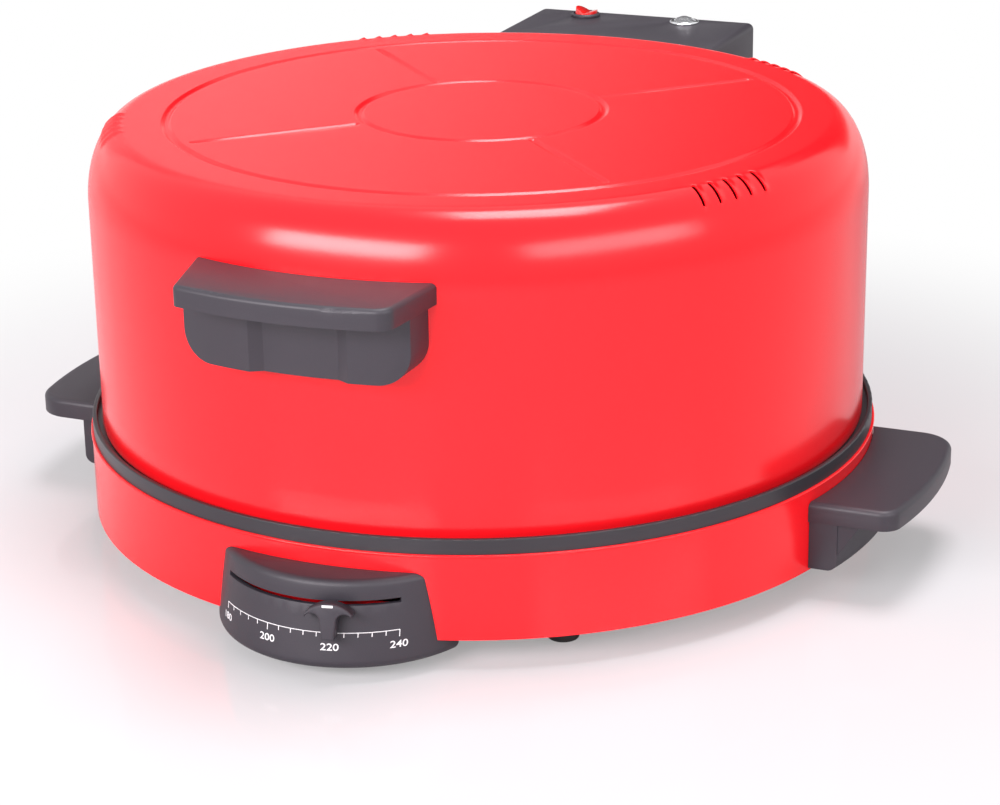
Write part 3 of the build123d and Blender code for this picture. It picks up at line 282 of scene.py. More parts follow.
def cad_copy(node, bevel, angle=SMOOTH_ANGLE):
    """A copy of a CAD node with merged corners, edges eased by the bevel in millimetres."""
    work = bmesh.new()
    work.from_mesh(frame["nodes"][node].data)
    bmesh.ops.remove_doubles(work, verts=work.verts, dist=WELD)
    bmesh.ops.dissolve_limit(work, angle_limit=FLAT_ANGLE, verts=work.verts, edges=work.edges)
    mesh = bpy.data.meshes.new(node + "_skin")
    work.to_mesh(mesh)
    work.free()
    obj = link(bpy.data.objects.new(mesh.name, mesh))
    if bevel:
        eased = obj.modifiers.new("Eased edges", "BEVEL")
        eased.width = bevel * MM
        eased.segments = 2
        eased.limit_method = "ANGLE"
        eased.angle_limit = math.radians(angle)
        eased.use_clamp_overlap = True
        settle(obj)
    smooth(obj.data, angle)
    return obj


def place(obj, body, slot, material, *nodes):
    """Gives a finished piece its material and its body, and hides the nodes that it replaces. The
    slot is not used.
    """
    obj.data.materials.clear()
    obj.data.materials.append(material)
    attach(obj, body)
    if nodes:
        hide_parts(*nodes)


def skins(pieces, body, slot, material):
    """Replaces CAD nodes by eased copies, given as pairs of node and bevel in millimetres."""
    for node, bevel in pieces:
        place(cad_copy(node, bevel), body, slot, material, node)


def new_material(name):
    """A material with a Principled shader, and that shader."""
    made = bpy.data.materials.new(name)
    made.use_nodes = True
    tree = made.node_tree
    tree.nodes.clear()
    shader = tree.nodes.new("ShaderNodeBsdfPrincipled")
    output = tree.nodes.new("ShaderNodeOutputMaterial")
    tree.links.new(shader.outputs["BSDF"], output.inputs["Surface"])
    return made, tree, shader


FINE = "Fine grain"
RINGS = "Ring grain"
GRAIN_NUMBERS = ("Spread", "Scale", "Patch Scale", "Roughness", "Roughness Spread", "Depth")
GRAIN_INPUTS = (("Colour", "colour"), *((name, "number") for name in GRAIN_NUMBERS))
SURFACE_OUTPUTS = (("Colour", "colour"), ("Roughness", "number"), ("Normal", "vector"))


def grain_group(name):
    """A surface's tone, gloss and bumps: an even grain, or rings round the upright axis."""
    if name in bpy.data.node_groups:
        return bpy.data.node_groups[name]
    tree, given, result = new_tree("ShaderNodeTree", name, GRAIN_INPUTS, SURFACE_OUTPUTS)
    value = {label: Term(tree, given.outputs[label]) for label, _ in GRAIN_INPUTS}
    place_of = tree.nodes.new("ShaderNodeTexCoord").outputs["Object"]
    patch = add_node(
        tree, "ShaderNodeTexNoise", Vector=place_of, Scale=value["Patch Scale"], Detail=2.0
    )
    if name == RINGS:
        split = add_node(tree, "ShaderNodeSeparateXYZ", _0=place_of)
        flat = add_node(tree, "ShaderNodeCombineXYZ", X=split.outputs["X"], Y=split.outputs["Y"])
        reach = add_node(tree, "ShaderNodeVectorMath", {"operation": "LENGTH"}, _0=flat.outputs[0])
        outward = Term(tree, reach.outputs["Value"]) * value["Scale"]
        upward = Term(tree, split.outputs["Z"]) * value["Scale"]
        grain = add_node(
            tree, "ShaderNodeTexNoise", {"noise_dimensions": "1D"}, W=outward + upward,
            Scale=1.0, Detail=3.0,
        )
    else:
        grain = add_node(
            tree, "ShaderNodeTexNoise", Vector=place_of, Scale=value["Scale"], Detail=3.0
        )
    grain_term = Term(tree, grain.outputs["Fac"]) - 0.5
    patch_term = Term(tree, patch.outputs["Fac"]) - 0.5
    both = grain_term + patch_term
    toned = add_node(
        tree, "ShaderNodeVectorMath", {"operation": "SCALE"}, _0=given.outputs["Colour"]
    )
    tree.links.new((both * value["Spread"] + 1.0).socket, toned.inputs["Scale"])
    tree.links.new(toned.outputs[0], result.inputs["Colour"])
    uneven = both if name == RINGS else patch_term
    rough = uneven * value["Roughness Spread"] + value["Roughness"]
    tree.links.new(rough.socket, result.inputs["Roughness"])
    bump = add_node(
        tree, "ShaderNodeBump", Strength=1.0, Distance=value["Depth"], Height=grain.outputs["Fac"]
    )
    tree.links.new(bump.outputs["Normal"], result.inputs["Normal"])
    return tree


# Each finish by its name: the group that it uses, its colour as a colour or as the name of one
# that can be set, the group's numbers in their order, and what is set on the shader itself
FINISHES = {
    "red enamel": (
        FINE, "enamel", (0.05, 420.0, 9.0, 0.2, 0.08, 0.000012),
        {"Specular IOR Level": 0.4},
    ),
    "dark plastic": (FINE, "plastic", (0.16, 1500.0, 14.0, 0.46, 0.12, 0.00006), {}),
    "non-stick coat": (RINGS, "plate", (0.2, 1400.0, 16.0, 0.36, 0.12, 0.00002), {}),
    "spun steel": (
        RINGS, "steel", (0.14, 2200.0, 11.0, 0.34, 0.2, 0.00001), {"Metallic": 1.0},
    ),
    "plated steel": (
        FINE, "steel", (0.12, 900.0, 60.0, 0.28, 0.2, 0.00001), {"Metallic": 1.0},
    ),
    "heater tube": (
        FINE, "heater", (0.6, 500.0, 30.0, 0.5, 0.25, 0.00003), {"Metallic": 0.7},
    ),
    "rubber": (FINE, (0.02, 0.02, 0.02), (0.3, 1200.0, 40.0, 0.75, 0.15, 0.00005), {}),
    "pale moulding": (
        FINE, (0.72, 0.70, 0.64), (0.08, 800.0, 30.0, 0.4, 0.1, 0.00002), {},
    ),
    "white ink": (FINE, "ink", (0.08, 2500.0, 200.0, 0.55, 0.1, 0.00001), {}),
    "rocker red": (
        FINE, "rocker", (0.15, 300.0, 90.0, 0.14, 0.06, 0.000004),
        {
            "Subsurface Weight": 0.25, "Subsurface Radius": (0.004, 0.0006, 0.0004),
            "Coat Weight": 0.5, "Coat Roughness": 0.04,
        },
    ),
    "bright trim": (
        FINE, (0.82, 0.83, 0.85), (0.05, 500.0, 120.0, 0.12, 0.08, 0.000003),
        {"Metallic": 1.0},
    ),
    "clear lens": (
        FINE, (0.90, 0.93, 0.94), (0.04, 400.0, 160.0, 0.06, 0.04, 0.000005),
        {"Transmission Weight": 0.85, "IOR": 1.49},
    ),
}


def finish(name):
    """A finish of the table, made once and shared."""
    if name in bpy.data.materials:
        return bpy.data.materials[name]
    group, base, numbers, own = FINISHES[name]
    if isinstance(base, str):
        base = getattr(bpy.context.scene.roti_finishes, base)
    made, tree, shader = new_material(name)
    grain = tree.nodes.new("ShaderNodeGroup")
    grain.node_tree = grain_group(group)
    grain.inputs["Colour"].default_value = (*base, 1.0)
    for key, value in zip(GRAIN_NUMBERS, numbers):
        grain.inputs[key].default_value = value
    for out, into in (("Colour", "Base Color"), ("Roughness", "Roughness"), ("Normal", "Normal")):
        tree.links.new(grain.outputs[out], shader.inputs[into])
    for key, value in own.items():
        shader.inputs[key].default_value = value
    return made


# Columns of the lid's mesh in degrees: beside a spoke's middle, on a lip's two sides, elsewhere
SPOKE_STEP = 0.15
SPOKE_STEPS = 24
HOOD_STEPS = (0, 0.08, 0.2, 0.4, 0.65, 0.9, 1.15, 1.4, 1.7)
SLIT_STEPS = (0, 0.2, 0.5, 0.85)
COARSE_STEP = 3
COARSE_GAP = 1.3

# Rows of the lid's mesh: beside a bead's middle, round the shoulder, down the wall
BEAD_ROWS = range(-16, 17)
BEAD_SHARE = 14
SPOKE_END_ROWS = range(0, 5)
PLAIN_ROWS = (0.02, 0.045, 0.1, 0.12, 0.14)
CLOSEST_ROWS = 0.1 * MM
SHOULDER_ROWS = 34
WALL_ROWS = 6
HEM = 0.6 * MM


def lid_columns(sizes):
    """Angles of the lid mesh's columns in degrees, close together at beads and louvres."""
    pitch = math.degrees(sizes.louvre_pitch)
    slit = math.degrees(sizes.slit_width / LID_HIGH.x)
    fine = []
    for middle in SPOKE_ANGLES:
        for k in range(SPOKE_STEPS):
            fine += [middle + k * SPOKE_STEP, middle - k * SPOKE_STEP]
    slits = []
    for middle in VENT_ANGLES:
        for k in LOUVRES:
            lip = (middle + k * pitch) % 360
            slits.append(lip)
            fine += [lip + step for step in HOOD_STEPS]
            fine += [lip - slit - step for step in SLIT_STEPS]
    fine = sorted({round(a % 360, 4) for a in fine})
    coarse = [
        a for a in range(0, 360, COARSE_STEP)
        if all(abs((a - f + 180) % 360 - 180) > COARSE_GAP for f in fine)
    ]
    return sorted(fine + coarse), slits


def lid_rows(sizes):
    """The lid's outer section as (radius, height) from its middle to its lower edge."""
    deck = LID_HIGH.x - sizes.shoulder_width
    top = LID_HIGH.z
    reach = []
    for bead in (sizes.hub_radius, sizes.ring_radius):
        reach += [bead + k * sizes.bead_width / BEAD_SHARE for k in BEAD_ROWS]
    half = sizes.bead_width / 2
    for end, way in ((sizes.spoke_start, 1), (sizes.spoke_end, -1)):
        reach += [end + way * k * half / 3 for k in SPOKE_END_ROWS]
    reach += [*PLAIN_ROWS, deck - 4 * MM, deck]
    reach = sorted(r for r in reach if r <= deck)
    reach = [r for k, r in enumerate(reach) if k == 0 or r - reach[k - 1] > CLOSEST_ROWS]
    rows = [(r, top) for r in reach]
    for k in range(1, SHOULDER_ROWS + 1):
        turn = math.radians(90 * k / SHOULDER_ROWS)
        rows.append((
            deck + sizes.shoulder_width * math.sin(turn),
            top - sizes.shoulder_drop * (1 - math.cos(turn)),
        ))
    wall_top = top - sizes.shoulder_drop
    rows += [
        (LID_HIGH.x, wall_top + (LID_LOW.z - wall_top) * k / WALL_ROWS)
        for k in range(1, WALL_ROWS)
    ]
    rows += [(LID_HIGH.x, LID_LOW.z + HEM), (LID_HIGH.x - HEM / 3, LID_LOW.z)]
    return rows


def lid_sheet(sizes):
    """The lid's outer surface before it is pressed, with its slits left open."""
    columns, slits = lid_columns(sizes)
    rows = lid_rows(sizes)
    deck = LID_HIGH.x - sizes.shoulder_width
    slit = math.degrees(sizes.slit_width / LID_HIGH.x)
    work = bmesh.new()
    middle = work.verts.new((0, 0, LID_HIGH.z))
    grid = []
    turns = [(math.cos(math.radians(a)), math.sin(math.radians(a))) for a in columns]
    for radius, height in rows:
        grid.append([
            work.verts.new((radius * across, radius * along, height)) for across, along in turns
        ])
    count = len(columns)
    low, high = deck + sizes.slit_start, deck + sizes.slit_end
    for k in range(count):
        n = (k + 1) % count
        work.faces.new((middle, grid[0][k], grid[0][n]))
        centre = (columns[k] + ((columns[n] - columns[k]) % 360) / 2) % 360
        open_here = any(0 < (s - centre) % 360 < slit for s in slits)
        for row in range(len(rows) - 1):
            if open_here and low < (rows[row][0] + rows[row + 1][0]) / 2 < high:
                if rows[row + 1][1] > LID_HIGH.z - sizes.shoulder_drop / 2:
                    continue
            work.faces.new((grid[row][k], grid[row + 1][k], grid[row + 1][n], grid[row][n]))
    mesh = bpy.data.meshes.new("lid_sheet")
    work.to_mesh(mesh)
    work.free()
    return mesh


LID_NUMBERS = (
    "Bead Width", "Bead Depth", "Bead Shift", "Hub Radius", "Ring Radius", "Spoke Start",
    "Spoke End", "Louvre Rise", "Louvre Run", "Louvre Pitch", "Louvre Start", "Louvre End",
)
LID_INPUTS = (
    ("Geometry", "mesh"), *((name, "number") for name in LID_NUMBERS), ("Material", "material"),
)

# How steep a bead's side is: it reaches the bead's full depth at 1 - 1 / 1.35 of the half width
BEAD_SIDE = 1.35
# Lengths over which a hood rises from the deck, comes down again and drops at its lip
HOOD_RISE = 4 * MM
HOOD_FALL = 3 * MM
LIP_OUTER = -0.9 * MM
LIP_INNER = -0.1 * MM


def press_tree():
    """Geometry Nodes that press the beads into the deck and the louvres out of the shoulder."""
    tree, given, result = new_tree(
        "GeometryNodeTree", "Press lid", LID_INPUTS, (("Geometry", "mesh"),)
    )
    value = {name: Term(tree, given.outputs[name]) for name, _ in LID_INPUTS}
    position = tree.nodes.new("GeometryNodeInputPosition").outputs[0]
    point = add_node(tree, "ShaderNodeSeparateXYZ", _0=position)
    x = Term(tree, point.outputs["X"])
    y = Term(tree, point.outputs["Y"])
    radius = (x * x + y * y).node("SQRT")
    angle = y.node("ARCTAN2", x)
    half = value["Bead Width"] * 0.5
    right = x - value["Bead Shift"]
    reach = (right * right + y * y).node("SQRT")
    hub_gap = (reach - value["Hub Radius"]).size()
    ring_gap = (reach - value["Ring Radius"]).size()
    quarter = math.pi / 2
    from_spoke = y.node("ARCTAN2", right) - quarter / 2
    from_spoke = from_spoke.node("WRAP", quarter / 2, -quarter / 2)
    along = reach * from_spoke.node("COSINE")
    across = reach * from_spoke.node("SINE")
    short = value["Spoke Start"] + half - along
    beyond = short.most(along - value["Spoke End"] + half).most(0.0)
    spoke_gap = (across * across + beyond * beyond).node("SQRT")
    gap = hub_gap.least(ring_gap).least(spoke_gap)
    inside = gap / half
    sunk = (inside * -BEAD_SIDE + BEAD_SIDE).most(0.0).least(1.0)
    lift = sunk * value["Bead Depth"] * -1.0
    rise = radius.ramp(value["Louvre Start"], value["Louvre Start"] + HOOD_RISE)
    fall = radius.ramp(value["Louvre End"] - HOOD_FALL, value["Louvre End"])
    along_slit = rise * (fall * -1.0 + 1.0)
    louvres = None
    for middle in VENT_ANGLES:
        turned = (angle - math.radians(middle)).node("WRAP", math.pi, -math.pi)
        number = (turned / value["Louvre Pitch"]).node("ROUND")
        number = number.most(float(LOUVRES[0])).least(float(LOUVRES[-1]))
        from_lip = (turned - number * value["Louvre Pitch"]) * radius
        slope = from_lip.ramp(0.0, value["Louvre Run"]) * -1.0 + 1.0
        lip = slope * from_lip.ramp(LIP_OUTER, LIP_INNER)
        louvres = lip if louvres is None else louvres + lip
    lift = lift + louvres * along_slit * value["Louvre Rise"]
    normal = tree.nodes.new("GeometryNodeInputNormal")
    offset = add_node(tree, "ShaderNodeVectorMath", {"operation": "SCALE"}, _0=normal.outputs[0])
    tree.links.new(lift.socket, offset.inputs["Scale"])
    pressed = add_node(
        tree, "GeometryNodeSetPosition", Geometry=given.outputs["Geometry"],
        Offset=offset.outputs[0],
    )
    finish_geometry(tree, given, result, pressed.outputs[0])
    return tree


TICK_THICKNESS = 0.16 * MM
TICK_INPUTS = (
    ("Geometry", "mesh"), ("Count", "count"), ("Half Sweep", "number"), ("Line Width", "number"),
    ("Tick Width", "number"), ("Short Tick", "number"), ("Long Tick", "number"),
    ("Radius", "number"), ("Slope", "number"), ("Material", "material"),
)


def tick_tree():
    """Geometry Nodes for a line and printed marks on a leaning face, a long one at each third."""
    tree, given, result = new_tree(
        "GeometryNodeTree", "Scale marks", TICK_INPUTS, (("Geometry", "mesh"),)
    )
    value = {name: Term(tree, given.outputs[name]) for name, _ in TICK_INPUTS}
    line = add_node(tree, "GeometryNodeMeshLine", Count=given.outputs["Count"])
    index = Term(tree, tree.nodes.new("GeometryNodeInputIndex").outputs[0])
    last = value["Count"] - 1.0
    share = index / last
    turn = (share * 2.0 - 1.0) * value["Half Sweep"]
    spot = add_node(
        tree, "ShaderNodeCombineXYZ", X=turn.node("SINE") * value["Radius"],
        Y=turn.node("COSINE") * value["Radius"] * -1.0,
    )
    spread = add_node(
        tree, "GeometryNodeSetPosition", Geometry=line.outputs[0], Position=spot.outputs[0]
    )
    thirds, nearly = 3.0, 0.02
    from_long = (share * thirds + 0.5).node("FRACT") - 0.5
    long_here = from_long.size().node("LESS_THAN", nearly)
    tall = value["Short Tick"] + (value["Long Tick"] - value["Short Tick"]) * long_here
    bar = add_node(tree, "GeometryNodeMeshCube")
    hung = add_node(
        tree, "GeometryNodeTransform", Geometry=bar.outputs[0], Translation=(0, 0, -0.5)
    )
    facing = add_node(tree, "ShaderNodeCombineXYZ", Z=turn)
    shape = add_node(
        tree, "ShaderNodeCombineXYZ", X=value["Tick Width"], Y=TICK_THICKNESS, Z=tall
    )
    stood = add_node(
        tree, "GeometryNodeInstanceOnPoints", Points=spread.outputs[0], Instance=hung.outputs[0],
        Rotation=facing.outputs[0], Scale=shape.outputs[0],
    )
    arc = add_node(
        tree, "GeometryNodeCurveArc", Resolution=64, Radius=value["Radius"],
        Start_Angle=value["Half Sweep"] * -1.0 - math.pi / 2,
        Sweep_Angle=value["Half Sweep"] * 2.0,
    )
    section = add_node(
        tree, "GeometryNodeCurvePrimitiveQuadrilateral", Width=value["Line Width"],
        Height=value["Line Width"],
    )
    line_mesh = add_node(
        tree, "GeometryNodeCurveToMesh", Curve=arc.outputs[0], Profile_Curve=section.outputs[0],
        Fill_Caps=True,
    )
    both = tree.nodes.new("GeometryNodeJoinGeometry")
    real = add_node(tree, "GeometryNodeRealizeInstances", Geometry=stood.outputs[0])
    for part in (line_mesh, real):
        tree.links.new(part.outputs[0], both.inputs[0])
    point = tree.nodes.new("GeometryNodeInputPosition").outputs[0]
    split = add_node(tree, "ShaderNodeSeparateXYZ", _0=point)
    shift = Term(tree, split.outputs["Z"]) * value["Slope"]
    moved = add_node(tree, "ShaderNodeCombineXYZ", Y=shift)
    leaning = add_node(
        tree, "GeometryNodeSetPosition", Geometry=both.outputs[0], Offset=moved.outputs[0]
    )
    finish_geometry(tree, given, result, leaning.outputs[0])
    return tree


HEAD_RADIUS = 3.5 * MM
HEAD_HEIGHT = 2.2 * MM
RECESS_WIDTH = 0.9 * MM
# What cuts off each head's lower half, wider and deeper than any head
CUT_WIDTH = 0.05
CUT_DEPTH = 0.02
SCREW_INPUTS = (
    ("Geometry", "mesh"), ("Head Radius", "number"), ("Head Height", "number"),
    ("Slot Width", "number"), ("Material", "material"),
)


def screw_tree():
    """Geometry Nodes that seat a pan head with a cross recess on each point, along its normal."""
    tree, given, result = new_tree(
        "GeometryNodeTree", "Pan heads", SCREW_INPUTS, (("Geometry", "mesh"),)
    )
    value = {name: Term(tree, given.outputs[name]) for name, _ in SCREW_INPUTS}
    dome = add_node(tree, "GeometryNodeMeshUVSphere", Segments=28, Rings=14, Radius=1.0)
    size = add_node(
        tree, "ShaderNodeCombineXYZ", X=value["Head Radius"], Y=value["Head Radius"],
        Z=value["Head Height"],
    )
    head = add_node(tree, "GeometryNodeTransform", Geometry=dome.outputs[0], Scale=size.outputs[0])
    cutters = []
    for turn in (0.0, math.pi / 2):
        blade_size = add_node(
            tree, "ShaderNodeCombineXYZ", X=value["Head Radius"] * 1.1, Y=value["Slot Width"],
            Z=value["Head Height"],
        )
        blade = add_node(tree, "GeometryNodeMeshCube", Size=blade_size.outputs[0])
        lifted = add_node(tree, "ShaderNodeCombineXYZ", Z=value["Head Height"] * 1.05)
        cutters.append(add_node(
            tree, "GeometryNodeTransform", Geometry=blade.outputs[0],
            Translation=lifted.outputs[0], Rotation=(0, 0, turn),
        ))
    base = add_node(tree, "GeometryNodeMeshCube", Size=(CUT_WIDTH, CUT_WIDTH, CUT_DEPTH))
    below = add_node(
        tree, "GeometryNodeTransform", Geometry=base.outputs[0], Translation=(0, 0, -CUT_DEPTH / 2)
    )
    cut = tree.nodes.new("GeometryNodeMeshBoolean")
    cut.operation = "DIFFERENCE"
    tree.links.new(head.outputs[0], cut.inputs["Mesh 1"])
    for cutter in (*cutters, below):
        tree.links.new(cutter.outputs[0], cut.inputs["Mesh 2"])
    named = add_node(
        tree, "GeometryNodeInputNamedAttribute", {"data_type": "FLOAT_VECTOR"}, Name="facing"
    )
    facing = add_node(
        tree, "FunctionNodeAlignEulerToVector", {"axis": "Z"}, Vector=named.outputs["Attribute"]
    )
    seated = add_node(
        tree, "GeometryNodeInstanceOnPoints", Points=given.outputs["Geometry"],
        Instance=cut.outputs[0], Rotation=facing.outputs[0],
    )
    finish_geometry(tree, given, result, seated.outputs[0])
    return tree


def solid_boxes(node):
    """The lowest and highest corner of each separate solid of a CAD node, in a fixed order."""
    work = bmesh.new()
    work.from_mesh(frame["nodes"][node].data)
    bmesh.ops.remove_doubles(work, verts=work.verts, dist=WELD)
    left = set(work.verts)
    found = []
    while left:
        island = []
        front = [left.pop()]
        while front:
            vert = front.pop()
            island.append(vert.co.copy())
            for edge in vert.link_edges:
                other = edge.other_vert(vert)
                if other in left:
                    left.discard(other)
                    front.append(other)
        low = Vector(min(p[i] for p in island) for i in range(3))
        high = Vector(max(p[i] for p in island) for i in range(3))
        found.append((low, high))
    work.free()
    return sorted(found, key=lambda box: tuple(round(c, 5) for c in box[0]))


def head_points(name, places):
    """A mesh of loose points with the way each screw head faces."""
    mesh = bpy.data.meshes.new(name)
    mesh.from_pydata([spot for spot, _ in places], [], [])
    facing = mesh.attributes.new("facing", "FLOAT_VECTOR", "POINT")
    for item, (_, way) in zip(facing.data, places):
        item.vector = way
    return mesh


class BuildLid(bpy.types.Operator):
    """Pressed and enamelled lid with its beads and louvres"""

    bl_idname = "roti.lid"
    bl_label = "Lid"

    def execute(self, context):
        sizes = context.scene.roti_lid
        deck = LID_HIGH.x - sizes.shoulder_width
        values = {name: getattr(sizes, name.lower().replace(" ", "_")) for name in LID_NUMBERS}
        values["Louvre Start"] += deck
        values["Louvre End"] += deck
        values["Material"] = finish("red enamel")
        lid = grow("lid_drum", press_tree(), lid_sheet(sizes), values)
        wall = lid.modifiers.new("Wall", "SOLIDIFY")
        wall.thickness = sizes.wall
        wall.offset = -1.0
        settle(lid)
        smooth(lid.data, 50)
        place(lid, "lid", "red_enamel", finish("red enamel"), "lid_shell")
        return {"FINISHED"}


class BuildLidInside(bpy.types.Operator):
    """Lining of the lid with its heater rings, bars and studs"""

    bl_idname = "roti.lid_inside"
    bl_label = "Inside of the lid"

    def execute(self, context):
        steel = finish("spun steel")
        skins((("lid_liner", 0), ("upper_bars", 0.25)), "lid", "sheet_steel", steel)
        skins((("upper_element", 0),), "lid", "element_steel", finish("heater tube"))
        skins((("upper_studs", 0.15),), "lid", "screw_steel", finish("plated steel"))
        return {"FINISHED"}


class BuildBase(bpy.types.Operator):
    """Enamelled base drum with its bottom cover and feet"""

    bl_idname = "roti.base"
    bl_label = "Base drum"

    def execute(self, context):
        skins((("base_shell", 0),), "base", "red_enamel", finish("red enamel"))
        skins((("bottom_cover", 0.2),), "base", "sheet_steel", finish("spun steel"))
        skins((("feet", 0),), "base", "rubber", finish("rubber"))
        return {"FINISHED"}


class BuildPlate(bpy.types.Operator):
    """Cooking plate with its upright rim, and what is fixed below it"""

    bl_idname = "roti.plate"
    bl_label = "Cooking plate"

    def execute(self, context):
        skins((("cooking_plate", 0),), "base", "nonstick", finish("non-stick coat"))
        steel = finish("spun steel")
        skins(
            (("heat_shield", 0), ("element_bars", 0), ("spacer_sleeves", 0)),
            "base", "sheet_steel", steel,
        )
        skins((("lower_element", 0),), "base", "element_steel", finish("heater tube"))
        return {"FINISHED"}


MARKS_PROUD = 0.02 * MM
TYPE_PROUD = 0.04 * MM
TYPE_THICKNESS = 0.06 * MM
TYPE_BOLDNESS = 0.04 * MM
CREST_EDGE = 0.7 * MM
POINTER_ROOT = -0.1 * MM
POINTER_PROUD = 0.06 * MM


class BuildDial(bpy.types.Operator):
    """Dial housing with its printed temperature scale"""

    bl_idname = "roti.dial"
    bl_label = "Dial housing"

    def execute(self, context):
        skins((("thermostat_housing", 0.35),), "base", "dark_plastic", finish("dark plastic"))
        sizes = context.scene.roti_dial
        low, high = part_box("thermostat_housing")
        pivot = Vector(JOINTS["lever_pivot"]["pos_m"])
        slope = sizes.lean / (high.z - low.z)
        white = finish("white ink")
        marks = grow("scale_marks", tick_tree(), bpy.data.meshes.new("scale_marks"), {
            "Count": sizes.tick_count, "Half Sweep": sizes.half_sweep,
            "Line Width": sizes.line_width, "Tick Width": sizes.tick_width,
            "Short Tick": sizes.short_tick, "Long Tick": sizes.long_tick,
            "Radius": sizes.radius + MARKS_PROUD, "Slope": slope, "Material": white,
        })
        marks.data.transform(Matrix.Translation((
            pivot.x, pivot.y + (sizes.tick_level - pivot.z) * slope, sizes.tick_level
        )))
        place(marks, "base", "white_plastic", white)
        work = bmesh.new()
        for k, text in enumerate(("180", "200", "220", "240")):
            turn = (k / 1.5 - 1) * sizes.half_sweep
            type_curve = bpy.data.curves.new("scale_" + text, "FONT")
            type_curve.body = text
            type_curve.size = sizes.number_size
            type_curve.align_x = "CENTER"
            type_curve.align_y = "CENTER"
            type_curve.extrude = TYPE_THICKNESS
            type_curve.offset = TYPE_BOLDNESS
            carrier = link(bpy.data.objects.new(type_curve.name, type_curve))
            shown = carrier.evaluated_get(context.evaluated_depsgraph_get())
            flat = bpy.data.meshes.new_from_object(shown)
            bpy.data.objects.remove(carrier)
            for vert in flat.vertices:
                level = sizes.number_level + vert.co.y
                reach = sizes.radius + vert.co.z + TYPE_PROUD
                at = turn + vert.co.x * sizes.number_width / reach
                vert.co = (
                    pivot.x + reach * math.sin(at),
                    pivot.y + (level - pivot.z) * slope - reach * math.cos(at), level,
                )
            work.from_mesh(flat)
        numbers = bpy.data.meshes.new("scale_numbers")
        bmesh.ops.remove_doubles(work, verts=work.verts, dist=1e-7)
        work.to_mesh(numbers)
        work.free()
        place(link(bpy.data.objects.new("scale_numbers", numbers)), "base", "white_plastic", white)
        return {"FINISHED"}


class BuildLever(bpy.types.Operator):
    """Thermostat lever with its thumb knob and pointer"""

    bl_idname = "roti.lever"
    bl_label = "Thermostat lever"

    def execute(self, context):
        skins((("lever_knob", 0.3),), "lever", "dark_plastic", finish("dark plastic"))
        skins((("lever_arm", 0),), "lever", "sheet_steel", finish("spun steel"))
        skins((("thermostat_shaft", 0),), "lever", "screw_steel", finish("plated steel"))
        sizes = context.scene.roti_dial
        low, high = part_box("thermostat_housing")
        lean = math.atan(sizes.lean / (high.z - low.z))
        pivot = Vector(JOINTS["lever_pivot"]["pos_m"])
        corners = [vert.co - pivot for vert in frame["nodes"]["lever_knob"].data.vertices]
        middle = sum(corners, Vector()) / len(corners)
        out = Vector((middle.x, middle.y, 0)).normalized()
        side = Vector((-out.y, out.x, 0))
        face = out * math.cos(lean) + Vector((0, 0, math.sin(lean)))
        up = Vector((0, 0, math.cos(lean))) - out * math.sin(lean)
        reach = max(corner.dot(face) for corner in corners)
        crest = max(corner.dot(up) for corner in corners) - CREST_EDGE
        work = bmesh.new()
        for depth in (POINTER_ROOT, POINTER_PROUD):
            for height in (crest - sizes.pointer_width, crest):
                for half in (-sizes.pointer_length / 2, sizes.pointer_length / 2):
                    work.verts.new(pivot + face * (reach + depth) + up * height + side * half)
        bmesh.ops.convex_hull(work, input=work.verts)
        bmesh.ops.recalc_face_normals(work, faces=work.faces)
        pointer = bpy.data.meshes.new("pointer")
        work.to_mesh(pointer)
        work.free()
        white = finish("white ink")
        place(link(bpy.data.objects.new("pointer", pointer)), "lever", "white_plastic", white)
        return {"FINISHED"}


class BuildThermostat(bpy.types.Operator):
    """Thermostat body, its bracket and the terminal block under the plate"""

    bl_idname = "roti.thermostat"
    bl_label = "Thermostat"

    def execute(self, context):
        skins((("thermostat_bracket", 0),), "base", "sheet_steel", finish("spun steel"))
        skins((("thermostat_body", 0.2),), "base", "bakelite", finish("rubber"))
        skins((("terminal_block", 0.2),), "base", "white_plastic", finish("pale moulding"))
        return {"FINISHED"}


class BuildHandles(bpy.types.Operator):
    """Front handle of the lid and the two side handles"""

    bl_idname = "roti.handles"
    bl_label = "Handles"

    def execute(self, context):
        dark = finish("dark plastic")
        skins((("lid_handle", 0.5),), "lid", "dark_plastic", dark)
        skins(
            (("side_handle_right", 0.5), ("side_handle_left", 0.5)), "base", "dark_plastic", dark
        )
        return {"FINISHED"}


class BuildHinge(bpy.types.Operator):
    """Hinge base, pin, strap and the box behind the lid"""

    bl_idname = "roti.hinge"
    bl_label = "Hinge"

    def execute(self, context):
        dark = finish("dark plastic")
        steel = finish("spun steel")
        skins((("hinge_base", 0.5),), "base", "dark_plastic", dark)
        skins((("hinge_box", 0.4),), "lid", "dark_plastic", dark)
        skins((("hinge_strap", 0.25),), "lid", "sheet_steel", steel)
        skins((("hinge_pin", 0),), "base", "screw_steel", finish("plated steel"))
        skins((("cord_gland", 0.3),), "base", "rubber", finish("rubber"))
        return {"FINISHED"}


class BuildSwitch(bpy.types.Operator):
    """Round rocker switch on the hinge box"""

    bl_idname = "roti.switch"
    bl_label = "Switch"

    def execute(self, context):
        skins((("switch_body", 0.3),), "lid", "dark_plastic", finish("dark plastic"))
        skins((("switch_rocker", 0.3),), "rocker", "rocker_red", finish("rocker red"))
        return {"FINISHED"}


# Rings of the lens as (share of its radius, drop from its top), the first one at its foot
LENS_RINGS = ((1.0, None), (1.0, 3.0 * MM), (0.74, 1.1 * MM), (0.36, 0.2 * MM))


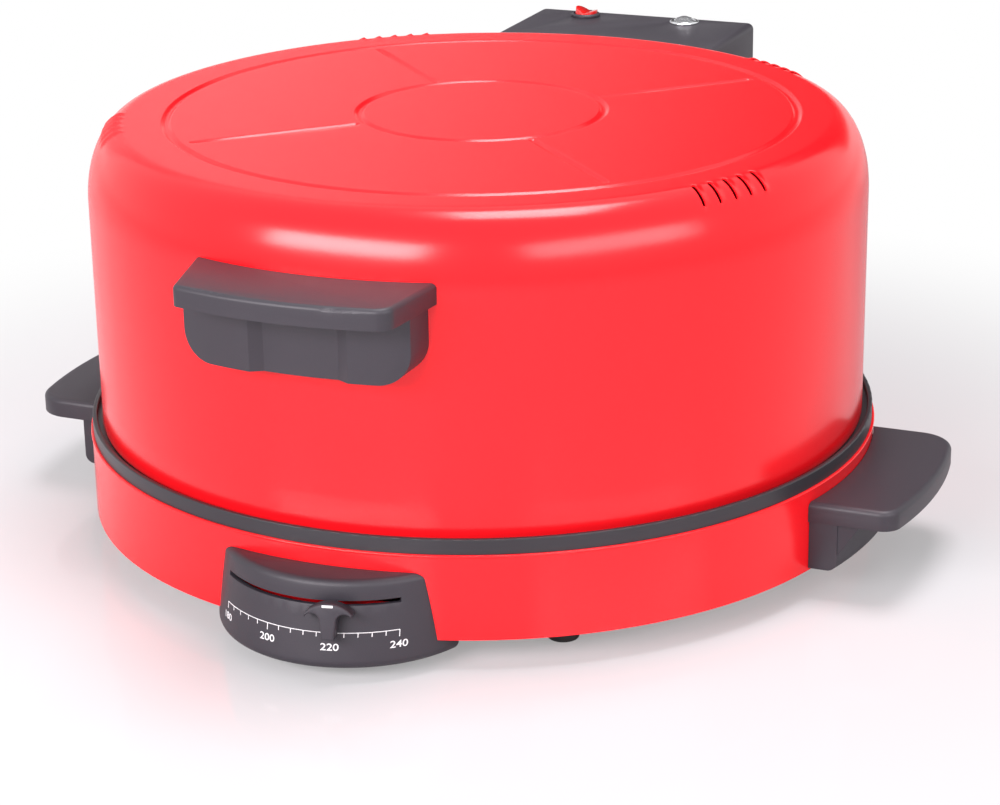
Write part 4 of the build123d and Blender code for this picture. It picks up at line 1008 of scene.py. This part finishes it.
class BuildLamp(bpy.types.Operator):
    """Indicator lamp with its plated bezel and faceted lens"""

    bl_idname = "roti.lamp"
    bl_label = "Lamp"

    def execute(self, context):
        skins((("lamp_bezel", 0.2),), "lid", "bright_trim", finish("bright trim"))
        low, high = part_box("lamp_lens")
        middle = (low + high) / 2
        radius = (high.x - low.x) / 2
        work = bmesh.new()
        facets = 10
        rows = []
        for k, (share, drop) in enumerate(LENS_RINGS):
            height = low.z if drop is None else high.z - drop
            shift = 0.5 * (k % 2)
            rows.append([
                work.verts.new((
                    middle.x + share * radius * math.cos(math.tau * (n + shift) / facets),
                    middle.y + share * radius * math.sin(math.tau * (n + shift) / facets),
                    height,
                ))
                for n in range(facets)
            ])
        for k in range(len(rows) - 1):
            for n in range(facets):
                m = (n + 1) % facets
                if k % 2 == 0:
                    work.faces.new((rows[k][n], rows[k][m], rows[k + 1][n]))
                    work.faces.new((rows[k][m], rows[k + 1][m], rows[k + 1][n]))
                else:
                    work.faces.new((rows[k][n], rows[k][m], rows[k + 1][m]))
                    work.faces.new((rows[k][n], rows[k + 1][m], rows[k + 1][n]))
        work.faces.new(rows[-1])
        work.faces.new(rows[0][::-1])
        mesh = bpy.data.meshes.new("lens_facets")
        bmesh.ops.recalc_face_normals(work, faces=work.faces)
        work.to_mesh(mesh)
        work.free()
        lens = link(bpy.data.objects.new("lens_facets", mesh))
        place(lens, "lid", "clear_lens", finish("clear lens"), "lamp_lens")
        skins((("lamp_body", 0),), "lid", "lamp_housing", finish("pale moulding"))
        return {"FINISHED"}


class BuildScrews(bpy.types.Operator):
    """Screws and bolts, with cross recesses where they show"""

    bl_idname = "roti.screws"
    bl_label = "Screws"

    def execute(self, context):
        steel = finish("plated steel")
        tree = screw_tree()
        for node in ("cover_screws", "foot_screws"):
            places = [
                (((low.x + high.x) / 2, (low.y + high.y) / 2, low.z + HEAD_HEIGHT), (0, 0, -1))
                for low, high in solid_boxes(node)
            ]
            heads = grow(node + "_heads", tree, head_points(node, places), {
                "Head Radius": HEAD_RADIUS, "Head Height": HEAD_HEIGHT,
                "Slot Width": RECESS_WIDTH, "Material": steel,
            })
            smooth(heads.data, 40)
            place(heads, "base", "screw_steel", steel, node)
        for node, body in (
            ("bar_screws", "base"), ("tie_bolts", "base"), ("dial_screws", "base"),
            ("side_handle_screws", "base"), ("hinge_base_screws", "base"),
            ("lid_handle_screws", "lid"), ("strap_screws", "lid"), ("box_screws", "lid"),
        ):
            skins(((node, 0),), body, "screw_steel", steel)
        return {"FINISHED"}


AIM = Vector((0, 0, 0.2))
LIGHTS = {
    "left": {"at": (-0.37, -1.48, 0.78), "size": (1.25, 0.42), "power": 28},
    "right": {"at": (1.37, -0.79, 0.78), "size": (1.4, 0.42), "power": 11},
    "top": {"at": (0.27, 0.12, 2.3), "size": (1.1, 0.9), "power": 42},
}


class BuildStage(bpy.types.Operator):
    """Floor, lights, world and camera"""

    bl_idname = "roti.stage"
    bl_label = "Stage"

    def execute(self, context):
        scene = context.scene
        add_floor(scene)
        add_world(scene)
        for name, values in LIGHTS.items():
            add_light(name, **values)
        add_card()
        add_camera(scene)
        scene.view_settings.view_transform = "Standard"
        return {"FINISHED"}


def add_card():
    """A tall curved card behind the view, dark on the right, which the gloss shows."""
    far, low, high, steps = 3.4, 0.5, 2.6, 24
    right_end, sweep = 72, 78
    dark_until, light_from = math.radians(100), math.radians(126)
    dark_tone, added_tone = 0.05, 0.8
    corners = []
    for k in range(steps + 1):
        angle = math.radians(right_end + sweep * k / steps)
        corners += [(far * math.cos(angle), far * math.sin(angle), height) for height in (low, high)]
    mesh = bpy.data.meshes.new("card")
    mesh.from_pydata(
        corners, [], [(2 * k, 2 * k + 1, 2 * k + 3, 2 * k + 2) for k in range(steps)]
    )
    card = link(bpy.data.objects.new("card", mesh))
    made, tree, shader = new_material("card")
    place_of = add_node(tree, "ShaderNodeTexCoord").outputs["Object"]
    split = add_node(tree, "ShaderNodeSeparateXYZ", _0=place_of)
    turn = Term(tree, split.outputs["Y"]).node("ARCTAN2", Term(tree, split.outputs["X"]))
    shown = turn.ramp(dark_until, light_from) * added_tone + dark_tone
    grey = add_node(tree, "ShaderNodeCombineXYZ", X=shown, Y=shown, Z=shown)
    tree.links.new(grey.outputs[0], shader.inputs["Base Color"])
    shader.inputs["Roughness"].default_value = 0.9
    mesh.materials.append(made)
    card.visible_camera = False


def add_light(name, at, size, power):
    """A soft rectangular lamp that looks at the object."""
    lamp = bpy.data.lights.new(name, "AREA")
    lamp.shape = "RECTANGLE"
    lamp.size, lamp.size_y = size
    lamp.energy = power
    lamp.color = (1.0, 0.95, 0.99)
    obj = link(bpy.data.objects.new(name, lamp))
    obj.location = at
    obj.rotation_euler = (AIM - Vector(at)).to_track_quat("-Z", "Y").to_euler()


def add_floor(scene):
    """A pale floor that turns into plain white far from the object."""
    mesh = bpy.data.meshes.new("floor")
    half, level = 6.0, -0.2 * MM
    corners = ((-half, -half), (half, -half), (half, half), (-half, half))
    mesh.from_pydata([(x, y, level) for x, y in corners], [], [(0, 1, 2, 3)])
    floor = link(bpy.data.objects.new("floor", mesh))
    made, tree, shader = new_material("pale floor")
    shader.inputs["Base Color"].default_value = (*scene.roti_finishes.floor, 1.0)
    shader.inputs["Roughness"].default_value = 0.1
    place_of = add_node(tree, "ShaderNodeTexCoord")
    reach = add_node(
        tree, "ShaderNodeVectorMath", {"operation": "LENGTH"}, _0=place_of.outputs["Object"]
    )
    near, white_from, near_share = 0.25, 0.62, 0.3
    far = Term(tree, reach.outputs["Value"]).ramp(near, white_from)
    far = far * (1.0 - near_share) + near_share
    seen = Term(tree, add_node(tree, "ShaderNodeLightPath").outputs["Is Camera Ray"])
    white = add_node(tree, "ShaderNodeEmission", Color=(1, 1, 1, 1), Strength=1.0)
    mix = add_node(
        tree, "ShaderNodeMixShader", _0=far * seen, _1=shader.outputs[0], _2=white.outputs[0]
    )
    output = next(n for n in tree.nodes if n.type == "OUTPUT_MATERIAL")
    tree.links.new(mix.outputs[0], output.inputs["Surface"])
    mesh.materials.append(made)


def add_world(scene):
    """Even pale light all round, seen as plain white."""
    world = bpy.data.worlds.new("studio")
    scene.world = world
    world.use_nodes = True
    tree = world.node_tree
    tree.nodes.clear()
    path = tree.nodes.new("ShaderNodeLightPath")
    seen = Term(tree, path.outputs["Is Camera Ray"])
    for way in ("Is Glossy Ray", "Is Transmission Ray"):
        seen = seen.most(Term(tree, path.outputs[way]))
    soft = add_node(tree, "ShaderNodeBackground", Color=(1.0, 0.98, 1.0, 1), Strength=0.42)
    white = add_node(tree, "ShaderNodeBackground", Color=(1, 1, 1, 1), Strength=1.0)
    mix = add_node(
        tree, "ShaderNodeMixShader", _0=seen, _1=soft.outputs[0], _2=white.outputs[0]
    )
    output = tree.nodes.new("ShaderNodeOutputWorld")
    tree.links.new(mix.outputs[0], output.inputs["Surface"])


def add_camera(scene):
    """The camera where the photograph was taken from."""
    eye = Vector((0.57674, -1.32628, 0.58725))
    yaw, pitch, roll = 0.40357, 0.34885, -0.01627
    back = Vector((
        math.sin(yaw) * math.cos(pitch), -math.cos(yaw) * math.cos(pitch), math.sin(pitch)
    ))
    right = Vector((math.cos(yaw), math.sin(yaw), 0.0))
    up = back.cross(right)
    turned = Matrix((right, up, back)).transposed() @ Matrix.Rotation(roll, 3, "Z")
    camera = bpy.data.cameras.new("camera")
    camera.sensor_width = 36.0
    camera.lens = 99.67
    obj = link(bpy.data.objects.new("camera", camera))
    obj.matrix_world = Matrix.Translation(eye) @ turned.to_4x4()
    scene.camera = obj


class RotiPanel(bpy.types.Panel):
    """Lists the sizes, the finishes and the pieces"""

    bl_idname = "VIEW3D_PT_roti"
    bl_label = "Roti maker"
    bl_space_type = "VIEW_3D"
    bl_region_type = "UI"
    bl_category = "Roti maker"

    def draw(self, context):
        for group in (context.scene.roti_lid, context.scene.roti_dial, context.scene.roti_finishes):
            column = self.layout.column(align=True)
            for key in group.bl_rna.properties.keys():
                if key not in {"rna_type", "name"}:
                    column.prop(group, key)
        for operator in OPERATORS:
            self.layout.operator(operator.bl_idname)


OPERATORS = (
    BuildLid, BuildLidInside, BuildBase, BuildPlate, BuildDial, BuildLever, BuildThermostat,
    BuildHandles, BuildHinge, BuildSwitch, BuildLamp, BuildScrews, BuildStage,
)
CLASSES = (LidSizes, DialSizes, Finishes, *OPERATORS, RotiPanel)


def register():
    """Registers the classes and hangs the sizes and finishes on the scene."""
    for item in CLASSES:
        bpy.utils.register_class(item)
    bpy.types.Scene.roti_lid = PointerProperty(type=LidSizes)
    bpy.types.Scene.roti_dial = PointerProperty(type=DialSizes)
    bpy.types.Scene.roti_finishes = PointerProperty(type=Finishes)


def unregister():
    """Undoes register."""
    del bpy.types.Scene.roti_finishes
    del bpy.types.Scene.roti_dial
    del bpy.types.Scene.roti_lid
    for item in reversed(CLASSES):
        bpy.utils.unregister_class(item)


def main():
    """Builds every piece."""
    register()
    for operator in OPERATORS:
        group, name = operator.bl_idname.split(".")
        getattr(getattr(bpy.ops, group), name)()


if __name__ == "__main__":
    main()
